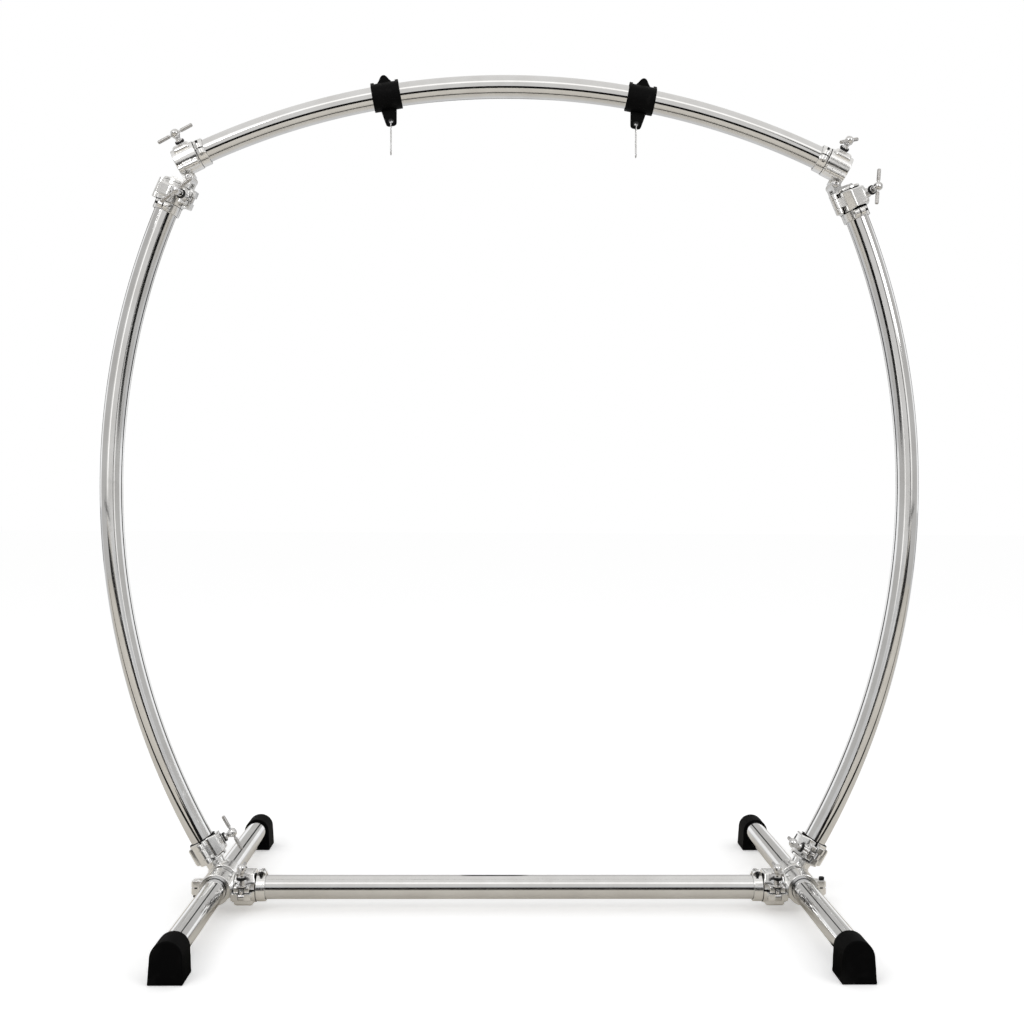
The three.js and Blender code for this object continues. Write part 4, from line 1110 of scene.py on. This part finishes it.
def make_hangers():
    for side, name in SIDES:
        angle = side * HANGER_ANGLE
        place = basis(arch_right(angle), Vector((0, 1, 0)), arch_up(angle), arch_point(angle))
        body = f"hanger_{name}"
        for maker, part in ((strap_piece, "strap"), (sleeve_piece, "sleeve")):
            node = f"hanger_{part}_{name}"
            fit(repeat(maker), f"leather_{part}_{name}", place, body, LEATHER, [node], 40)
        turned_about = place @ Matrix.Rotation(math.pi, 4, "Z") @ Matrix.Translation((0, 4.8, 0))
        for seam_place, end in ((place, "near"), (turned_about, "far")):
            # The seam ends take the paler edge colour, partly a painted highlight at the sleeve's top corners.
            fit(repeat(seam_end), f"seam_end_{end}_{name}", seam_place, body, EDGE)
        eyelet = f"hanger_eyelet_{name}"
        fit(repeat(eyelet_piece), f"eyelet_ring_{name}", place, body, BLACK, [eyelet], 40)
        hang = Matrix.Translation(place @ Vector((0, 0, -EYELET_DROP)) - UP * LINK_RISE)
        fit(repeat(wire_link), f"bent_wire_link_{name}", hang, f"link_{name}", WIRE, [f"wire_link_{name}"], 40)


make_hangers()
for pattern in PATTERNS.values():
    bpy.data.objects.remove(pattern)


# What still shows of the CAD takes its finish here

SLOT_FINISH = {
    "chrome_tube": STEEL, "cast_chrome": CASTING, "black_steel": BLACK, "rubber": RUBBER, "leather": LEATHER,
    "wire": WIRE,
}
for part in frame["record"]["subparts"]:
    shown = frame["nodes"][part["node"]]
    shown.data.materials.clear()
    shown.data.materials.append(SLOT_FINISH[part["material_slot"]])


# Stage: a white floor and surround, and cards that only reflections show

LINE_FRONT, LINE_BACK, LINE_EDGE = -0.42, -0.2, 0.02


def stage_floor():
    """White paper. Only in reflections is its colour painted: a warm grey, paler behind, with a dark line before the
    crossbar, so the tubes show painted reflections and a painted shadow line.
    """
    floor = start("plane", size=60, location=(0, 0, -0.0005))
    floor.name = "floor"
    finish = Finish("white floor")
    seen = finish.node("LightPath", output="Is Camera Ray")
    mirrored = finish.node("LightPath", output="Is Glossy Ray")
    depth = finish.node("SeparateXYZ", inputs={0: finish.place()}, output="Y")
    behind = finish.spread(depth, 0.2, 1.6)
    # Painted shadow: a dark band in the floor's reflected colour only, which the tubes show as a dark line.
    from_front = finish.spread(depth, LINE_FRONT, LINE_FRONT + LINE_EDGE)
    line = from_front * finish.spread(depth, LINE_BACK - LINE_EDGE, LINE_BACK, 1, 0)
    grey = finish.mixed(behind, rgb(0.74, 0.7, 0.63), rgb(0.85, 0.85, 0.85))
    grey = finish.mixed(line, grey, rgb(0.015, 0.014, 0.013))
    paper = finish.node("BsdfDiffuse", inputs={"Color": rgb(0.9, 0.9, 0.9)})
    mirror_paper = finish.node("BsdfDiffuse", inputs={"Color": grey})
    white = finish.node("BsdfDiffuse", inputs={"Color": rgb(1, 1, 1)})
    glow = finish.node("Emission", inputs={"Color": rgb(1, 1, 1), "Strength": 0.27})
    bright = finish.node("AddShader", inputs={0: white, 1: glow})
    unseen = finish.node("MixShader", inputs={0: mirrored, 1: paper, 2: mirror_paper})
    both = finish.node("MixShader", inputs={0: seen, 1: unseen, 2: bright})
    finish.node("OutputMaterial", inputs={"Surface": both})
    floor.data.materials.append(finish.material)


def card(name, size, location, turn, grey, underside=None):
    """A card that the camera never sees, also where it stands in the view. Only reflections show it."""
    angles = [math.radians(angle) for angle in turn]
    board = start("plane", size=1, location=location, rotation=angles)
    board.scale = (*size, 1)
    board.name = name
    finish = Finish(name)
    tone = rgb(grey, grey * 0.985, grey * 0.96)
    if underside:
        below = finish.node("NewGeometry", output="Backfacing")
        tone = finish.mixed(below, tone, rgb(underside, underside, underside))
    plain = finish.node("Emission", inputs={"Color": tone, "Strength": 1})
    finish.node("OutputMaterial", inputs={"Surface": plain})
    board.data.materials.append(finish.material)
    board.visible_camera = board.visible_diffuse = board.visible_shadow = False
    board.visible_transmission = board.visible_volume_scatter = False


def room():
    """The cards that draw the bright and dark lines along the tubes."""
    card("ceiling card", (14, 12), (0, -0.6, 4.4), (0, 0, 0), 0.78)
    card("far wall card", (14, 4.4), (0, -5.2, 2.7), (90, 0, 0), 0.7)
    card("dark shelf card", (14, 3.5), (0, -3.1, 0.62), (0, 0, 0), 0.006, underside=0.62)
    card("dark skirting card", (14, 0.4), (0, -4.4, 0.2), (90, 0, 0), 0.02)
    card("dark kerb card", (1.15, 0.13), (0, -0.5, 0.065), (90, 0, 0), 0.01)
    card("long soft box card", (4.6, 0.95), (0, -2.7, 3.55), (48, 0, 0), 1.25)
    card("left soft box card", (0.85, 2.6), (-2.3, -4.2, 2.0), (90, 0, 0), 1.25)
    card("right soft box card", (0.8, 2.6), (2.9, -3.9, 2.0), (90, 0, 0), 1.15)
    card("dark stand card", (0.4, 3.2), (1.75, -4.1, 1.6), (90, 0, 0), 0.02)
    card("left wall card", (5.6, 4.4), (-4.2, -2.2, 2.2), (90, 0, 90), 0.52)
    card("right wall card", (5.6, 4.4), (4.2, -2.2, 2.2), (90, 0, 90), 0.52)
    card("back wall card", (14, 3.4), (0, 5.2, 2.7), (90, 0, 0), 0.55)
    card("dark pole card", (0.35, 3.0), (0, 4.6, 2.1), (90, 0, 0), 0.02)
    for side, name in SIDES:
        card(f"dark {name} pole card", (1.6, 3.4), (side * 4, 4, 1.8), (90, 0, -45 * side), 0.02)


def surround():
    """White where the camera and the chrome look past the cards, and a little lower as a light."""
    world = bpy.data.worlds.new("white surround")
    bpy.context.scene.world = world
    finish = Finish("white surround", world)
    seen = finish.node("LightPath", output="Is Camera Ray")
    mirrored = finish.node("LightPath", output="Is Glossy Ray")
    through = finish.node("LightPath", output="Is Transmission Ray")
    shown = seen.math("MAXIMUM", seen.math("MAXIMUM", seen, mirrored), through)
    sky = finish.node("Background", inputs={"Color": rgb(1, 1, 1), "Strength": finish.spread(shown, 0, 1, 0.72, 1)})
    finish.node("OutputWorld", inputs={"Surface": sky})


def lamp(name, location, size, power, aim=(0, 0, 0.6)):
    light = bpy.data.lights.new(name, "AREA")
    light.shape = "RECTANGLE"
    light.size, light.size_y = size
    light.energy = power
    holder = bpy.data.objects.new(name, light)
    bpy.context.scene.collection.objects.link(holder)
    holder.location = location
    holder.rotation_euler = (Vector(aim) - Vector(location)).to_track_quat("-Z", "Y").to_euler()


PICTURE_PIXELS = 1024
FOCAL_PIXELS = 1225.6
SENSOR_WIDTH = 36
CAMERA_PLACE = (-0.038, -2.0391, 0.6564)
CAMERA_TURN = (1.077, -0.201, 0.319)  # yaw, pitch and roll in degrees


def camera():
    """The photo's view, fitted to the ends of the tubes, the feet and the clamps."""
    lens = bpy.data.cameras.new("camera")
    lens.sensor_width = SENSOR_WIDTH
    lens.lens = FOCAL_PIXELS / PICTURE_PIXELS * SENSOR_WIDTH
    lens.clip_end = 100
    yaw, pitch, roll = (math.radians(angle) for angle in CAMERA_TURN)
    ahead = Vector((math.sin(yaw) * math.cos(pitch), math.cos(yaw) * math.cos(pitch), math.sin(pitch)))
    right = Vector((math.cos(yaw), -math.sin(yaw), 0))
    up = right.cross(ahead)
    rolled_right = right * math.cos(roll) + up * math.sin(roll)
    rolled_up = up * math.cos(roll) - right * math.sin(roll)
    holder = bpy.data.objects.new("camera", lens)
    bpy.context.scene.collection.objects.link(holder)
    holder.matrix_world = basis(rolled_right, rolled_up, -ahead, CAMERA_PLACE)
    bpy.context.scene.camera = holder


put_tools_down()
stage_floor()
room()
surround()
lamp("key lamp", (-2.2, -3.2, 3.0), (1.6, 1.0), 26)
lamp("fill lamp", (2.6, -2.4, 2.2), (1.2, 1.2), 14)
camera()
scene = bpy.context.scene
scene.view_settings.view_transform = "Standard"
